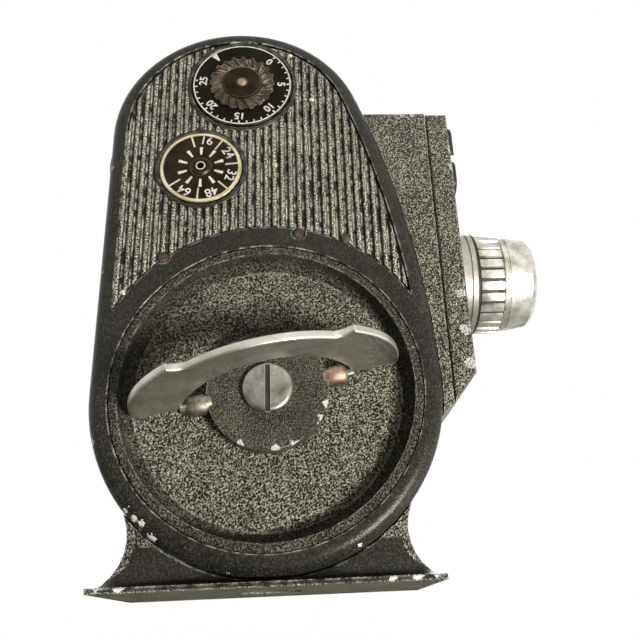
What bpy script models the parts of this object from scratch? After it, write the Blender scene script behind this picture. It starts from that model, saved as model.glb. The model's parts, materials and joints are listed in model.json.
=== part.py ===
"""A palm-size spring-wound cine camera, as an assembly of separate pieces.

Sizes are millimetres and the meshes are metres. Inside the camera X runs along the lens axis, out of the
lens, Y runs across the body from the winding side to the film door, and Z is up from the foot.
"""

import math

import bmesh
import bpy
from mathutils import Matrix, Vector

MM = 0.001
CLEARANCE = 0.3
OVERSHOOT = 1.0
JOINT_OVERLAP = 1.0
EDGE_CHAMFER = 0.4
SMALL_STEPS = 10
ROUND_STEPS = 20
MIDDLE_STEPS = 28
FINE_STEPS = 42

# Side outline: a round drum below, an arched top, and a wide front curve that joins them
DRUM_RADIUS = 36.0
DRUM_LIFT = 1.5
ARCH_RISE = 63.0
ARCH_RADIUS = 29.7
FRONT_CURVE_RADIUS = 230.0
WALL = 2.6

# Depths across the body
COVER_FACE = -20.0
COVER_THICKNESS = 4.5
PARTITION_NEAR = 0.3
PARTITION_THICKNESS = 2.0
DOOR_FACE = 21.5
DOOR_DEPTH = 5.2
DOOR_SKIN = 1.5
FACE_ROUNDING = 3.2

# Flared foot
FOOT_HALF_LENGTH = 33.0
FOOT_EDGE = 1.0
FOOT_LIP = 0.4
FLARE_RADIUS = 10.0
FLARE_HALF_DEPTH = 17.0
FOOT_FLOOR = 1.2

# Finder block and front plate
BLOCK_NEAR = -17.0
BLOCK_FAR = 17.0
BLOCK_MARGIN = 1.1
BLOCK_PROUD = 2.3
BLOCK_SLOPE_DROP = 6.5
BLOCK_SLOPE = 3.0
PLATE_THICKNESS = 5.2
PLATE_SLOPE = 6.2
PLATE_ROUNDING = 1.0

# Ribbed panel
PANEL_MARGIN = 4.4
PANEL_DEPTH = 0.5
DRUM_BAND = 0.6
RIB_PITCH = 1.87
GROOVE_WIDTH = 0.85
GROOVE_DEPTH = 0.6

# Key dish
DISH_MARGIN = 5.7
DISH_RIM = 1.8
DISH_DEPTH = 5.0
DISH_FLOOR = 1.8
DISH_FILLET = 1.5
DISH_FLANGE = 1.4

# Winding hub and arbor
HUB_RADIUS = 12.5
HUB_THICKNESS = 3.6
HUB_CHAMFER = 0.5
SCREW_HEAD_RADIUS = 5.1
SCREW_HEAD_HEIGHT = 1.3
SCREW_SHANK_RADIUS = 2.3
SCREW_LENGTH = 9.0
SCREW_SLOT_WIDTH = 1.0
SCREW_SLOT_DEPTH = 0.7
ARBOR_RADIUS = 4.0
JOURNAL_RADIUS = 2.0
KEY_TURN = 10.9
KEY_LEAN = 1.65

# Key handle
PIVOT_HEIGHT = 2.4
HANDLE_THICKNESS = 1.8
HANDLE_FOOT_DROP = 0.6
HANDLE_GAP = 0.7
HANDLE_INNER_FOOT = 17.6
HORN_HALF_WIDTH = 17.2
DIP_HALF_WIDTH = 14.4
DIP_HEIGHT = 19.8
CREST_HEIGHT = 24.8
ARCH_CUT_HEIGHT = 16.8
ARCH_CUT_START = 0.9
ARCH_CUT_HALF_WIDTH = 17.4
ARCH_CUT_POWER = 1.4
HANDLE_ROUNDING = 0.6
HANDLE_OFFSET = 1.2
EYE_RADIUS = 1.5
EYE_END = 20.6
EAR_RADIUS = 1.6
EAR_ROOT = 2.0
EAR_END = 16.8
PIN_RADIUS = 0.8
PIN_START = 12.9
PIN_END = 19.5

# Dials
FOOTAGE_X = -5.8
FOOTAGE_ABOVE_ARCH = 12.8
FOOTAGE_RADIUS = 12.0
FOOTAGE_KNOB_RADIUS = 7.8
FOOTAGE_KNOB_HEIGHT = 0.6
FOOTAGE_KNOB_TEETH = 20
KNOB_TOOTH_DEPTH = 1.4
SPEED_X = -15.0
SPEED_BELOW_ARCH = 10.6
SPEED_RADIUS = 8.95
SPEED_BOSS_RADIUS = 2.3
SPEED_BOSS_HEIGHT = 0.5
DIAL_THICKNESS = 1.5
DIAL_SINK = 1.6
DIAL_SHAFT_RADIUS = 1.6

# Cover screws, as angles about the drum axis and distances outside the drum's radius
COVER_SCREWS = ((127.0, 1.2), (78.7, -0.4), (62.8, 2.0))
COVER_SCREW_RADIUS = 1.3
COVER_SCREW_HEAD = 0.6
COVER_SCREW_FLOOR = 1.0

# Lens
LENS_Y = 7.5
LENS_BELOW_DRUM_TOP = 2.1
LENS_FLANGE_RADIUS = 13.0
LENS_FLANGE_LENGTH = 6.2
LENS_THREAD_RADIUS = 7.9
LENS_REAR_LENGTH = 6.5
LENS_SLEEVE_RADIUS = 9.0
LENS_SLEEVE_REACH = 2.0
LENS_BORE = 6.0
FLUTED_RING_RADIUS = 12.7
FLUTED_RING_LENGTH = 5.8
FLUTE_COUNT = 28
FLUTE_DEPTH = 0.6
BARREL_RADIUS = 12.1
BARREL_FRONT_RADIUS = 11.2
BARREL_LENGTH = 8.3
BARREL_BEVEL = 1.4
FRONT_GLASS_RADIUS = 7.0
FRONT_GLASS_THICKNESS = 2.6
FRONT_GLASS_SINK = 3.0
FRONT_GLASS_BULGE = 0.6
GLASS_LEDGE = 1.0
REAR_GLASS_THICKNESS = 2.0
REAR_GLASS_SINK = 0.5
IRIS_OPENING = 2.6
IRIS_THICKNESS = 0.5
FLANGE_FOCUS = 12.3

# Finder
FINDER_Y = -7.0
FINDER_ABOVE_DRUM = 22.5
FINDER_TUBE_RADIUS = 5.5
FINDER_TUBE_WALL = 0.8
BEZEL_HALF_WIDTH = 7.8
BEZEL_HALF_HEIGHT = 9.4
BEZEL_CORNER = 3.5
BEZEL_PROUD = 2.0
EYEPIECE_LENGTH = 1.4
FINDER_GLASS_THICKNESS = 1.4

# Release button and tripod bush
BUTTON_RISE = 13.0
BUTTON_Y = 2.0
BUTTON_RADIUS = 3.6
BUTTON_PROUD = 3.0
BUTTON_TRAVEL = 2.0
BUTTON_CHAMFER = 0.6
BUSH_RADIUS = 6.0
BUSH_HOLE = 3.2
BUSH_HEIGHT = 7.0

# Gear train: the spring barrel drives the intermediate wheel, which drives the crown wheel and the governor
BARREL_TEETH = 48
WHEEL_TEETH = 24
PINION_TEETH = 8
CROWN_MODULE = 0.7
CROWN_TEETH = 28
SHUTTER_PINION_TEETH = 7
TOOTH_TIP = 0.85
TOOTH_ROOT = 1.15
TOOTH_TIP_SHARE = 0.12
TOOTH_ROOT_SHARE = 0.28
GEAR_NEAR = -7.2
GEAR_FAR = -5.6
CROWN_X = 16.0
SHUTTER_ABOVE_LENS = 1.6
CROWN_WEB_NEAR = -5.2
CROWN_WEB_FAR = -4.4
CROWN_TOOTH_HEIGHT = 1.0
CROWN_BACKLASH = 0.15
CROWN_DISH = 0.4
CROWN_FACE_WIDTH = 2.4
ARBOR_PIVOT_RADIUS = 1.2
PIVOT_DEPTH = 1.0
GOVERNOR_ANGLE = 175.0
GOVERNOR_RADIUS = 8.0
GOVERNOR_THICKNESS = 1.8
GOVERNOR_RIM = 2.4
GOVERNOR_NEAR = -11.2
BARREL_STEP = 1.0
BARREL_NEAR = -12.6
BARREL_WALL = 1.2
SPRING_THICKNESS = 0.6
SPRING_COIL_COUNT = 4
SPRING_STEPS = 14

# Mechanism plate
MECHANISM_PLATE_NEAR = -14.8
MECHANISM_PLATE_THICKNESS = 1.0
MECHANISM_PLATE_GAP = 1.3
MECHANISM_PLATE_TOP = 51.5
MECHANISM_PLATE_MARGIN = 1.5
POST_RADIUS = 2.4
REAR_POST = (-27.0, 34.5)
FRONT_POST_FROM_CROWN = (8.0, 11.0)
PLATE_PIVOT_MARGIN = 3.6

# Ratchet and click
RATCHET_TEETH = 16
RATCHET_RADIUS = 6.4
RATCHET_TOOTH = 0.9
RATCHET_NEAR = -4.6
RATCHET_THICKNESS = 1.2
CLICK_PIVOT = (15.0, 5.0)
CLICK_HALF_WIDTH = 0.65

# Shutter, gate and claw
SHUTTER_RADIUS = 12.3
SHUTTER_OPEN_ANGLE = 150.0
SHUTTER_THICKNESS = 0.6
SHUTTER_SHAFT_RADIUS = 1.2
SHUTTER_HUB_RADIUS = 3.2
SHUTTER_SINK = 2.4
SHUTTER_ROOM_DEPTH = 3.7
SHUTTER_ROOM_NEAR = -14.6
SHUTTER_ROOM_FAR = 13.5
SHUTTER_ROOM_HALF_HEIGHT = 14.0
GATE_THICKNESS = 1.2
GATE_HALF_HEIGHT = 13.0
GATE_NEAR = 2.8
GATE_FAR = 15.4
GATE_WINDOW_WIDTH = 4.8
GATE_WINDOW_HEIGHT = 3.6
GATE_CORNER = 0.3
PRESSURE_PLATE_THICKNESS = 1.3
PRESSURE_PLATE_HALF_HEIGHT = 9.0
FILM_GAP = 0.4
CLAW_THICKNESS = 0.6
CLAW_WIDTH = 2.4
CLAW_LENGTH = 12.0
CLAW_TIP = 1.2
CLAW_Y = 4.0
FRAME_PITCH = 3.81

# Spools
SPOOL_ROOM = 2.3
SPOOL_CORE = 8.0
SPOOL_FLANGE = 0.8
SPOOL_NEAR = 2.7
SPOOL_FAR = 19.5
SPINDLE_RADIUS = 2.2
SPINDLE_INNER_END = -0.6
FEED_BELOW_ARCH = 2.0
TAKEUP_GAP = 1.0

# Door latch
LATCH_X = -7.0
LATCH_RADIUS = 8.0
LATCH_HEIGHT = 1.2
LATCH_GRIP_HEIGHT = 2.0
LATCH_GRIP_WIDTH = 2.6
LATCH_SHAFT_RADIUS = 1.8
LATCH_POST_RADIUS = 4.0
LATCH_POST_END = 14.5
LATCH_SHAFT_END = 8.0

# Values worked out from the sizes above
DRUM_HEIGHT = DRUM_RADIUS + DRUM_LIFT
DRUM = Vector((0.0, DRUM_HEIGHT))
ARCH = Vector((ARCH_RADIUS - DRUM_RADIUS, DRUM_HEIGHT + ARCH_RISE))
COVER_BACK = COVER_FACE + COVER_THICKNESS
CASTING_NEAR = COVER_BACK + CLEARANCE
PARTITION_FAR = PARTITION_NEAR + PARTITION_THICKNESS
DOOR_BACK = DOOR_FACE - DOOR_DEPTH
CASTING_FAR = DOOR_BACK - CLEARANCE
FOOT_SOLID_HEIGHT = BUSH_HEIGHT + CLEARANCE + FOOT_FLOOR
BLOCK_FRONT = DRUM_RADIUS + BLOCK_PROUD
BLOCK_SLOPE_LOW = DRUM_HEIGHT - BLOCK_SLOPE_DROP
BLOCK_SLOPE_HIGH = BLOCK_SLOPE_LOW + BLOCK_SLOPE
DRUM_BAND_RADIUS = DRUM_RADIUS + DRUM_BAND
DISH_RADIUS = DRUM_RADIUS - DISH_MARGIN
DISH_FLOOR_Y = COVER_FACE + DISH_DEPTH
DISH_BACK = DISH_FLOOR_Y + DISH_FLOOR
HUB_BACK = DISH_FLOOR_Y - CLEARANCE
HUB_FRONT = HUB_BACK - HUB_THICKNESS
PIVOT_Y = DISH_FLOOR_Y - PIVOT_HEIGHT
HANDLE_OUTER_RADIUS = DISH_RADIUS - DISH_RIM - HANDLE_GAP
FOOTAGE_RISE = ARCH_RISE + FOOTAGE_ABOVE_ARCH
SPEED_RISE = ARCH_RISE - SPEED_BELOW_ARCH
LENS_Z = DRUM_HEIGHT + DRUM_RADIUS - LENS_BELOW_DRUM_TOP
FINDER_Z = DRUM_HEIGHT + DRUM_RADIUS + FINDER_ABOVE_DRUM
BLOCK_TOP = FINDER_Z + BEZEL_HALF_HEIGHT + BLOCK_MARGIN
BUTTON_Z = DRUM_HEIGHT + BUTTON_RISE
PLATE_BACK = BLOCK_FRONT + CLEARANCE
PLATE_FRONT = PLATE_BACK + PLATE_THICKNESS
PLATE_LOW = BLOCK_SLOPE_HIGH + CLEARANCE
PLATE_CORNER_HEIGHT = PLATE_LOW + PLATE_SLOPE
LENS_SEAT = PLATE_FRONT + CLEARANCE
FLANGE_END = LENS_SEAT + LENS_FLANGE_LENGTH
RING_START = FLANGE_END + CLEARANCE
RING_END = RING_START + FLUTED_RING_LENGTH
BARREL_START = RING_END + CLEARANCE
BARREL_END = BARREL_START + BARREL_LENGTH
GATE_FRONT = LENS_SEAT - FLANGE_FOCUS + GATE_THICKNESS
SHUTTER_Z = LENS_Z + SHUTTER_ABOVE_LENS
SHUTTER_X = BLOCK_FRONT - SHUTTER_SINK
SHUTTER_ROOM_BACK = BLOCK_FRONT - SHUTTER_ROOM_DEPTH
CROWN_RADIUS = CROWN_MODULE * CROWN_TEETH / 2
SHUTTER_PINION_RADIUS = CROWN_MODULE * SHUTTER_PINION_TEETH / 2
SHUTTER_Y = CROWN_WEB_FAR + CROWN_TOOTH_HEIGHT / 2 + SHUTTER_PINION_RADIUS + CROWN_BACKLASH
GROOVE_INSET = PANEL_MARGIN + GROOVE_WIDTH
MECHANISM_PLATE_LOW_RADIUS = DISH_RADIUS + DISH_FLANGE + MECHANISM_PLATE_GAP
SPOOL_RADIUS = ARCH_RADIUS - WALL - SPOOL_ROOM
FEED_PLACE = (ARCH.x, ARCH_RISE - FEED_BELOW_ARCH)
TAKEUP_PLACE = (SPOOL_RADIUS + TAKEUP_GAP + WALL - DRUM_RADIUS, 0.0)
LATCH_PLACE = (LATCH_X, FEED_PLACE[1] / 2)
LATCH_TOP = DOOR_FACE + CLEARANCE + LATCH_HEIGHT + LATCH_GRIP_HEIGHT


def circles_meet(centre_a, radius_a, centre_b, radius_b, side):
    """A point where two circles cross: side +1 is to the left of the line from a to b, -1 to its right."""
    line = centre_b - centre_a
    along = (radius_a**2 - radius_b**2 + line.length_squared) / (2 * line.length)
    across = math.sqrt(radius_a**2 - along**2)
    unit = line.normalized()
    return centre_a + unit * along + Vector((-unit.y, unit.x)) * across * side


FRONT_CURVE = circles_meet(
    DRUM, FRONT_CURVE_RADIUS - DRUM_RADIUS, ARCH, FRONT_CURVE_RADIUS - ARCH_RADIUS, 1
)
DRUM_TANGENT = math.atan2(*(DRUM - FRONT_CURVE).yx)
ARCH_TANGENT = math.atan2(*(ARCH - FRONT_CURVE).yx)
WHEEL_DISTANCE = MECHANISM_PLATE_LOW_RADIUS + PLATE_PIVOT_MARGIN
TRAIN_MODULE = 2 * WHEEL_DISTANCE / (BARREL_TEETH + WHEEL_TEETH)
BARREL_DRUM_RADIUS = TRAIN_MODULE * (BARREL_TEETH / 2 - TOOTH_ROOT) - BARREL_STEP
PINION_DISTANCE = TRAIN_MODULE * (WHEEL_TEETH + PINION_TEETH) / 2
CROWN = Vector((CROWN_X, SHUTTER_Z))
WHEEL = circles_meet(DRUM, WHEEL_DISTANCE, CROWN, PINION_DISTANCE, 1)
GOVERNOR_TURN = math.radians(GOVERNOR_ANGLE)
GOVERNOR = WHEEL + Vector((math.cos(GOVERNOR_TURN), math.sin(GOVERNOR_TURN))) * PINION_DISTANCE


# Shapes


def arc(centre, radius, start, end, count):
    """Points on an arc of a circle, from one angle to another, both included."""
    turns = [start + (end - start) * i / count for i in range(count + 1)]
    return [(centre[0] + radius * math.cos(t), centre[1] + radius * math.sin(t)) for t in turns]


def side_outline(inset=0.0, front_count=5, top_count=15, drum_count=22):
    """The body's outline in X and Z, moved inward by inset."""
    front = arc(FRONT_CURVE, FRONT_CURVE_RADIUS - inset, DRUM_TANGENT, ARCH_TANGENT, front_count)
    top = arc(ARCH, ARCH_RADIUS - inset, ARCH_TANGENT, math.pi, top_count)
    drum = arc(DRUM, DRUM_RADIUS - inset, math.pi, 2 * math.pi + DRUM_TANGENT, drum_count)
    return front + top[1:] + drum[:-1]


def panel_top(x):
    """The height of the grooves' upper ends at the place x."""
    radius = ARCH_RADIUS - GROOVE_INSET
    if x < ARCH.x + radius * math.cos(ARCH_TANGENT):
        return ARCH.y + math.sqrt(max(0.0, radius**2 - (x - ARCH.x) ** 2))
    return FRONT_CURVE.y + math.sqrt((FRONT_CURVE_RADIUS - GROOVE_INSET) ** 2 - (x - FRONT_CURVE.x) ** 2)


def rounded_rectangle(half_width, half_height, corner, count=4):
    """A rectangle about the origin with round corners."""
    points = []
    for i, (sx, sz) in enumerate(((1, 1), (-1, 1), (-1, -1), (1, -1))):
        centre = (sx * (half_width - corner), sz * (half_height - corner))
        points += arc(centre, corner, i * math.pi / 2, (i + 1) * math.pi / 2, count)
    return points


def tooth_corners(root, tip):
    """A tooth's corners, each with its place as a share of the tooth pitch."""
    sides = ((root, TOOTH_ROOT_SHARE), (tip, TOOTH_TIP_SHARE))
    return [(level, -share) for level, share in sides] + [(level, share) for level, share in reversed(sides)]


def gear_outline(teeth, module, phase):
    """A gear's outline about the origin, with one tooth centred on the angle phase."""
    pitch = 2 * math.pi / teeth
    root = module * (teeth / 2 - TOOTH_ROOT)
    tip = module * (teeth / 2 + TOOTH_TIP)
    points = []
    for i in range(teeth):
        for radius, share in tooth_corners(root, tip):
            turn = phase + (i + share) * pitch
            points.append((radius * math.cos(turn), radius * math.sin(turn)))
    return points


def mesh_phase(centre_a, teeth_a, phase_a, centre_b, teeth_b):
    """The phase that puts gear b's gap against gear a's tooth on the line between them."""
    turn = math.atan2(*(centre_b - centre_a).yx)
    place = (turn - phase_a) * teeth_a / (2 * math.pi)
    return turn + math.pi - (0.5 - place) * 2 * math.pi / teeth_b


def prism(points, start, end, axis="Y"):
    """A solid with the outline points, from start to end along the axis.

    The outline is in X and Z for a Y prism, in Y and Z for an X prism, and in X and Y for a Z prism.
    """
    bm = bmesh.new()
    rings = []
    for along in (start, end):
        rings.append([bm.verts.new(on_axis(axis, a, b, along)) for a, b in points])
    bm.faces.new(rings[0])
    bm.faces.new(rings[1])
    for i in range(len(points)):
        j = (i + 1) % len(points)
        bm.faces.new((rings[0][i], rings[0][j], rings[1][j], rings[1][i]))
    bmesh.ops.recalc_face_normals(bm, faces=bm.faces)
    return bm


def on_axis(axis, a, b, along):
    if axis == "Y":
        return (a, along, b)
    if axis == "X":
        return (along, a, b)
    return (a, b, along)


def turned(profile, axis="Y", steps=ROUND_STEPS):
    """A solid of revolution: profile holds (radius, along) points and closes unless it starts at radius 0."""
    bm = bmesh.new()
    rings = []
    for radius, along in profile:
        turns = [2 * math.pi * i / steps for i in range(steps)] if radius > 0 else [0.0]
        rings.append(
            [bm.verts.new(on_axis(axis, radius * math.cos(t), radius * math.sin(t), along)) for t in turns]
        )
    pairs = list(zip(rings, rings[1:]))
    if profile[0][0] > 0:
        pairs.append((rings[-1], rings[0]))
    for ring_a, ring_b in pairs:
        for i in range(steps):
            j = (i + 1) % steps
            corners = ((ring_a, i), (ring_a, j), (ring_b, j), (ring_b, i))
            bm.faces.new(dict.fromkeys(ring[k % len(ring)] for ring, k in corners))
    bmesh.ops.recalc_face_normals(bm, faces=bm.faces)
    return bm


def rod(radius, start, end, axis="Y", steps=ROUND_STEPS):
    """A plain cylinder."""
    return turned([(0, start), (radius, start), (radius, end), (0, end)], axis, steps)


def tube(radius, bore, start, end, axis="Y", steps=ROUND_STEPS):
    """A plain cylinder with a bore."""
    return turned([(bore, start), (radius, start), (radius, end), (bore, end)], axis, steps)


def block(low, high):
    """A box between two corners."""
    corners = [(low[0], low[2]), (high[0], low[2]), (high[0], high[2]), (low[0], high[2])]
    return prism(corners, low[1], high[1])


def bar(start, end, half_width, count=5):
    """An outline with round ends around the line from start to end."""
    turn = math.atan2(end[1] - start[1], end[0] - start[0])
    first = arc(start, half_width, turn + math.pi / 2, turn + 3 * math.pi / 2, count)
    return first + arc(end, half_width, turn - math.pi / 2, turn + math.pi / 2, count)


def round_edges(bm, pick, width, segments):
    """Rounds the edges that pick accepts."""
    edges = [edge for edge in bm.edges if pick(edge)]
    bmesh.ops.bevel(bm, geom=edges, offset=width, segments=segments, profile=0.5, affect="EDGES")
    return bm


def on_plane(axis, place):
    """Picks the edges that lie in a plane square to an axis (0, 1 or 2 for X, Y or Z)."""
    return lambda edge: all(abs(vert.co[axis] - place) < 1e-4 for vert in edge.verts)


# Objects

for old in list(bpy.data.objects):
    bpy.data.objects.remove(old, do_unlink=True)


FINISHES = {
    "crackle": ((0.035, 0.034, 0.031), 0.55, 0.1),
    "enamel": ((0.02, 0.02, 0.02), 0.35, 0.0),
    "nickel": ((0.55, 0.53, 0.48), 0.22, 1.0),
    "aluminium": ((0.75, 0.74, 0.7), 0.35, 1.0),
    "steel": ((0.5, 0.5, 0.5), 0.35, 1.0),
    "brass": ((0.55, 0.42, 0.2), 0.4, 1.0),
    "copper": ((0.5, 0.27, 0.17), 0.45, 1.0),
    "glass": ((0.75, 0.8, 0.82), 0.05, 0.0),
}


def finish_of(name, kind):
    """The piece's own material."""
    material = bpy.data.materials.new(name + "_finish")
    material.use_nodes = True
    colour, roughness, metallic = FINISHES[kind]
    shader = material.node_tree.nodes["Principled BSDF"]
    shader.inputs["Base Color"].default_value = (*colour, 1.0)
    shader.inputs["Roughness"].default_value = roughness
    shader.inputs["Metallic"].default_value = metallic
    return material


def empty(name, place, parent=None, turn=(0.0, 0.0, 0.0)):
    """A frame that carries pieces: its place is in millimetres and its turn in degrees."""
    obj = bpy.data.objects.new(name, None)
    obj.location = Vector(place) * MM
    obj.rotation_euler = [math.radians(angle) for angle in turn]
    obj.parent = parent
    bpy.context.collection.objects.link(obj)
    return obj


def piece(name, bm, finish, place=(0.0, 0.0, 0.0), parent=None):
    """Makes a named object from a bmesh in millimetres about its own origin."""
    bmesh.ops.scale(bm, vec=(MM, MM, MM), verts=bm.verts)
    mesh = bpy.data.meshes.new(name)
    bm.to_mesh(mesh)
    bm.free()
    mesh.shade_smooth()
    mesh.set_sharp_from_angle(angle=math.radians(30))
    obj = bpy.data.objects.new(name, mesh)
    obj.location = Vector(place) * MM
    obj.parent = parent or camera_frame
    bpy.context.collection.objects.link(obj)
    if finish:
        mesh.materials.append(finish_of(name, finish))
    return obj


def combine(obj, bm, operation, place=(0.0, 0.0, 0.0), parent=None):
    """Cuts a shape from a piece, or joins it to the piece. The shape's place is given as the piece's is."""
    name = f"{obj.name}_{operation.lower()}_{len(obj.modifiers)}"
    tool = piece(name, bm, None, place, parent or obj.parent)
    tool.hide_render = True
    tool.display_type = "WIRE"
    modifier = obj.modifiers.new(tool.name, "BOOLEAN")
    modifier.operation = operation
    modifier.solver = "EXACT"
    modifier.object = tool


def cut(obj, bm, place=(0.0, 0.0, 0.0), parent=None):
    combine(obj, bm, "DIFFERENCE", place, parent)


def join(obj, bm, place=(0.0, 0.0, 0.0), parent=None):
    combine(obj, bm, "UNION", place, parent)


def from_drum(place, depth=0.0):
    """A place given from the drum axis, in the camera's own frame."""
    return (place[0], depth, DRUM_HEIGHT + place[1])


HANDLE_REACH = CREST_HEIGHT * math.cos(math.radians(KEY_LEAN))
HANDLE_EDGE = (HANDLE_THICKNESS / 2 - HANDLE_OFFSET) * math.sin(math.radians(KEY_LEAN))
BOX_MIDDLE_X = (BARREL_END - DRUM_RADIUS - CLEARANCE - EYEPIECE_LENGTH) / 2
BOX_MIDDLE_Y = (PIVOT_Y - HANDLE_REACH - HANDLE_EDGE + LATCH_TOP) / 2
camera_frame = empty("camera_frame", (-BOX_MIDDLE_X, -BOX_MIDDLE_Y, 0.0))


# Casing


def foot_outline():
    """The flare above the foot plate: a hollow curve from the plate up to the drum at each end."""
    tip = Vector((FOOT_HALF_LENGTH - FOOT_LIP, FOOT_EDGE / 2))
    flare = circles_meet(DRUM, DRUM_RADIUS + FLARE_RADIUS, tip, FLARE_RADIUS, 1)
    start = math.atan2(*(tip - flare).yx)
    end = math.atan2(*(DRUM - flare).yx)
    right = arc(flare, FLARE_RADIUS, start % (2 * math.pi), end % (2 * math.pi), 8)
    return right + [(-x, z) for x, z in reversed(right)]


def block_outline():
    """The finder block that carries the front plate, seen from the side."""
    return [
        (0.0, BLOCK_SLOPE_LOW),
        (BLOCK_FRONT - (BLOCK_SLOPE_HIGH - BLOCK_SLOPE_LOW), BLOCK_SLOPE_LOW),
        (BLOCK_FRONT, BLOCK_SLOPE_HIGH),
        (BLOCK_FRONT, BLOCK_TOP),
        (0.0, BLOCK_TOP),
    ]


def cavity(start, end):
    """The inside of the body between two depths, above the solid foot."""
    half = math.sqrt((DRUM_RADIUS - WALL) ** 2 - (DRUM_HEIGHT - FOOT_SOLID_HEIGHT) ** 2)
    kept = [point for point in side_outline(WALL, 4, 10, 16) if point[1] > FOOT_SOLID_HEIGHT]
    first = max(i for i, point in enumerate(kept) if point[0] < 0 and point[1] < DRUM_HEIGHT)
    corner = [(-half, FOOT_SOLID_HEIGHT), (half, FOOT_SOLID_HEIGHT)]
    return prism(kept[: first + 1] + corner + kept[first + 1 :], start, end)


def make_casting():
    casting = piece("main_casting", prism(block_outline(), BLOCK_NEAR, BLOCK_FAR), "crackle")
    join(casting, prism(foot_outline(), -FLARE_HALF_DEPTH, FLARE_HALF_DEPTH))
    cut(casting, prism(side_outline(-CLEARANCE), COVER_FACE, CASTING_NEAR + JOINT_OVERLAP))
    cut(casting, prism(side_outline(-CLEARANCE), CASTING_FAR - JOINT_OVERLAP, DOOR_FACE))
    join(casting, prism(side_outline(), CASTING_NEAR, CASTING_FAR))
    foot_low = (-FOOT_HALF_LENGTH, COVER_FACE, 0.0)
    join(casting, block(foot_low, (FOOT_HALF_LENGTH, DOOR_FACE, FOOT_EDGE)))
    cut(casting, cavity(COVER_FACE, PARTITION_NEAR))
    cut(casting, cavity(PARTITION_FAR, DOOR_FACE))
    dish_room = DISH_RADIUS + DISH_FLANGE + CLEARANCE
    cut(casting, rod(dish_room, COVER_FACE, DISH_BACK + CLEARANCE, steps=FINE_STEPS), from_drum((0, 0)))
    cut_film_path(casting)
    finder_bore = rod(FINDER_TUBE_RADIUS + CLEARANCE, -DRUM_RADIUS - OVERSHOOT, PLATE_FRONT, "X")
    cut(casting, finder_bore, (0, FINDER_Y, FINDER_Z))
    cut(casting, rod(BUSH_RADIUS + CLEARANCE, -OVERSHOOT, BUSH_HEIGHT + CLEARANCE, "Z"))
    button_end = BLOCK_FRONT - BUTTON_TRAVEL - 2 * CLEARANCE
    button_room = rod(BUTTON_RADIUS + CLEARANCE, button_end, PLATE_FRONT, "X")
    cut(casting, button_room, (0, BUTTON_Y, BUTTON_Z))
    post_end = MECHANISM_PLATE_NEAR + MECHANISM_PLATE_THICKNESS + CLEARANCE
    for place in (DRUM + Vector(REAR_POST), CROWN + Vector(FRONT_POST_FROM_CROWN)):
        post = rod(POST_RADIUS, post_end, PARTITION_NEAR + JOINT_OVERLAP, steps=SMALL_STEPS)
        join(casting, post, (place.x, 0, place.y))
    latch_post = rod(LATCH_POST_RADIUS, PARTITION_FAR - JOINT_OVERLAP, LATCH_POST_END)
    join(casting, latch_post, from_drum(LATCH_PLACE))
    latch_bore = rod(LATCH_SHAFT_RADIUS + CLEARANCE, LATCH_SHAFT_END - CLEARANCE, DOOR_FACE)
    cut(casting, latch_bore, from_drum(LATCH_PLACE))
    for place in (FEED_PLACE, TAKEUP_PLACE):
        ends = (PARTITION_NEAR - OVERSHOOT, PARTITION_FAR + OVERSHOOT)
        cut(casting, rod(SPINDLE_RADIUS + CLEARANCE, *ends, steps=SMALL_STEPS), from_drum(place))
    bore_end = PARTITION_NEAR + PIVOT_DEPTH + CLEARANCE
    bore_start = PARTITION_NEAR - OVERSHOOT
    cut(casting, rod(JOURNAL_RADIUS + CLEARANCE, bore_start, bore_end, steps=SMALL_STEPS), from_drum((0, 0)))
    for pivot in (WHEEL, CROWN, GOVERNOR, DRUM + Vector(CLICK_PIVOT)):
        bore = rod(ARBOR_PIVOT_RADIUS + CLEARANCE, bore_start, bore_end, steps=SMALL_STEPS)
        cut(casting, bore, (pivot.x, 0, pivot.y))


def cut_film_path(casting):
    """Cuts the gate pocket, the shutter room, the window between them and the shutter shaft's bearing."""
    reach = GATE_HALF_HEIGHT + CLEARANCE
    pocket_low = (0.0, GATE_NEAR - CLEARANCE, LENS_Z - reach)
    cut(casting, block(pocket_low, (GATE_FRONT + CLEARANCE, DOOR_FACE, LENS_Z + reach)))
    room = SHUTTER_ROOM_HALF_HEIGHT
    room_low = (SHUTTER_ROOM_BACK, SHUTTER_ROOM_NEAR, SHUTTER_Z - room)
    cut(casting, block(room_low, (PLATE_FRONT, SHUTTER_ROOM_FAR, SHUTTER_Z + room)))
    window_low = (GATE_FRONT - OVERSHOOT, CLAW_Y - CLAW_WIDTH / 2, LENS_Z - FRAME_PITCH - CLEARANCE)
    window_high = (PLATE_FRONT, LENS_Y + GATE_WINDOW_WIDTH, LENS_Z + FRAME_PITCH + CLEARANCE)
    cut(casting, block(window_low, window_high))
    lens_room = PLATE_FRONT - LENS_REAR_LENGTH - CLEARANCE
    cut(casting, rod(LENS_THREAD_RADIUS + CLEARANCE, lens_room, PLATE_FRONT, "X"), lens_place())
    place = (0, SHUTTER_Y, SHUTTER_Z)
    cut(casting, rod(SHUTTER_SHAFT_RADIUS + CLEARANCE, CROWN_X, PLATE_FRONT, "X", SMALL_STEPS), place)
    tip = CROWN_MODULE * (SHUTTER_PINION_TEETH / 2 + TOOTH_TIP) + CLEARANCE
    start = CROWN_X + CROWN_RADIUS - CROWN_FACE_WIDTH
    cut(casting, rod(tip, start, start + 2 * CROWN_FACE_WIDTH, "X", SMALL_STEPS), place)


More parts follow.
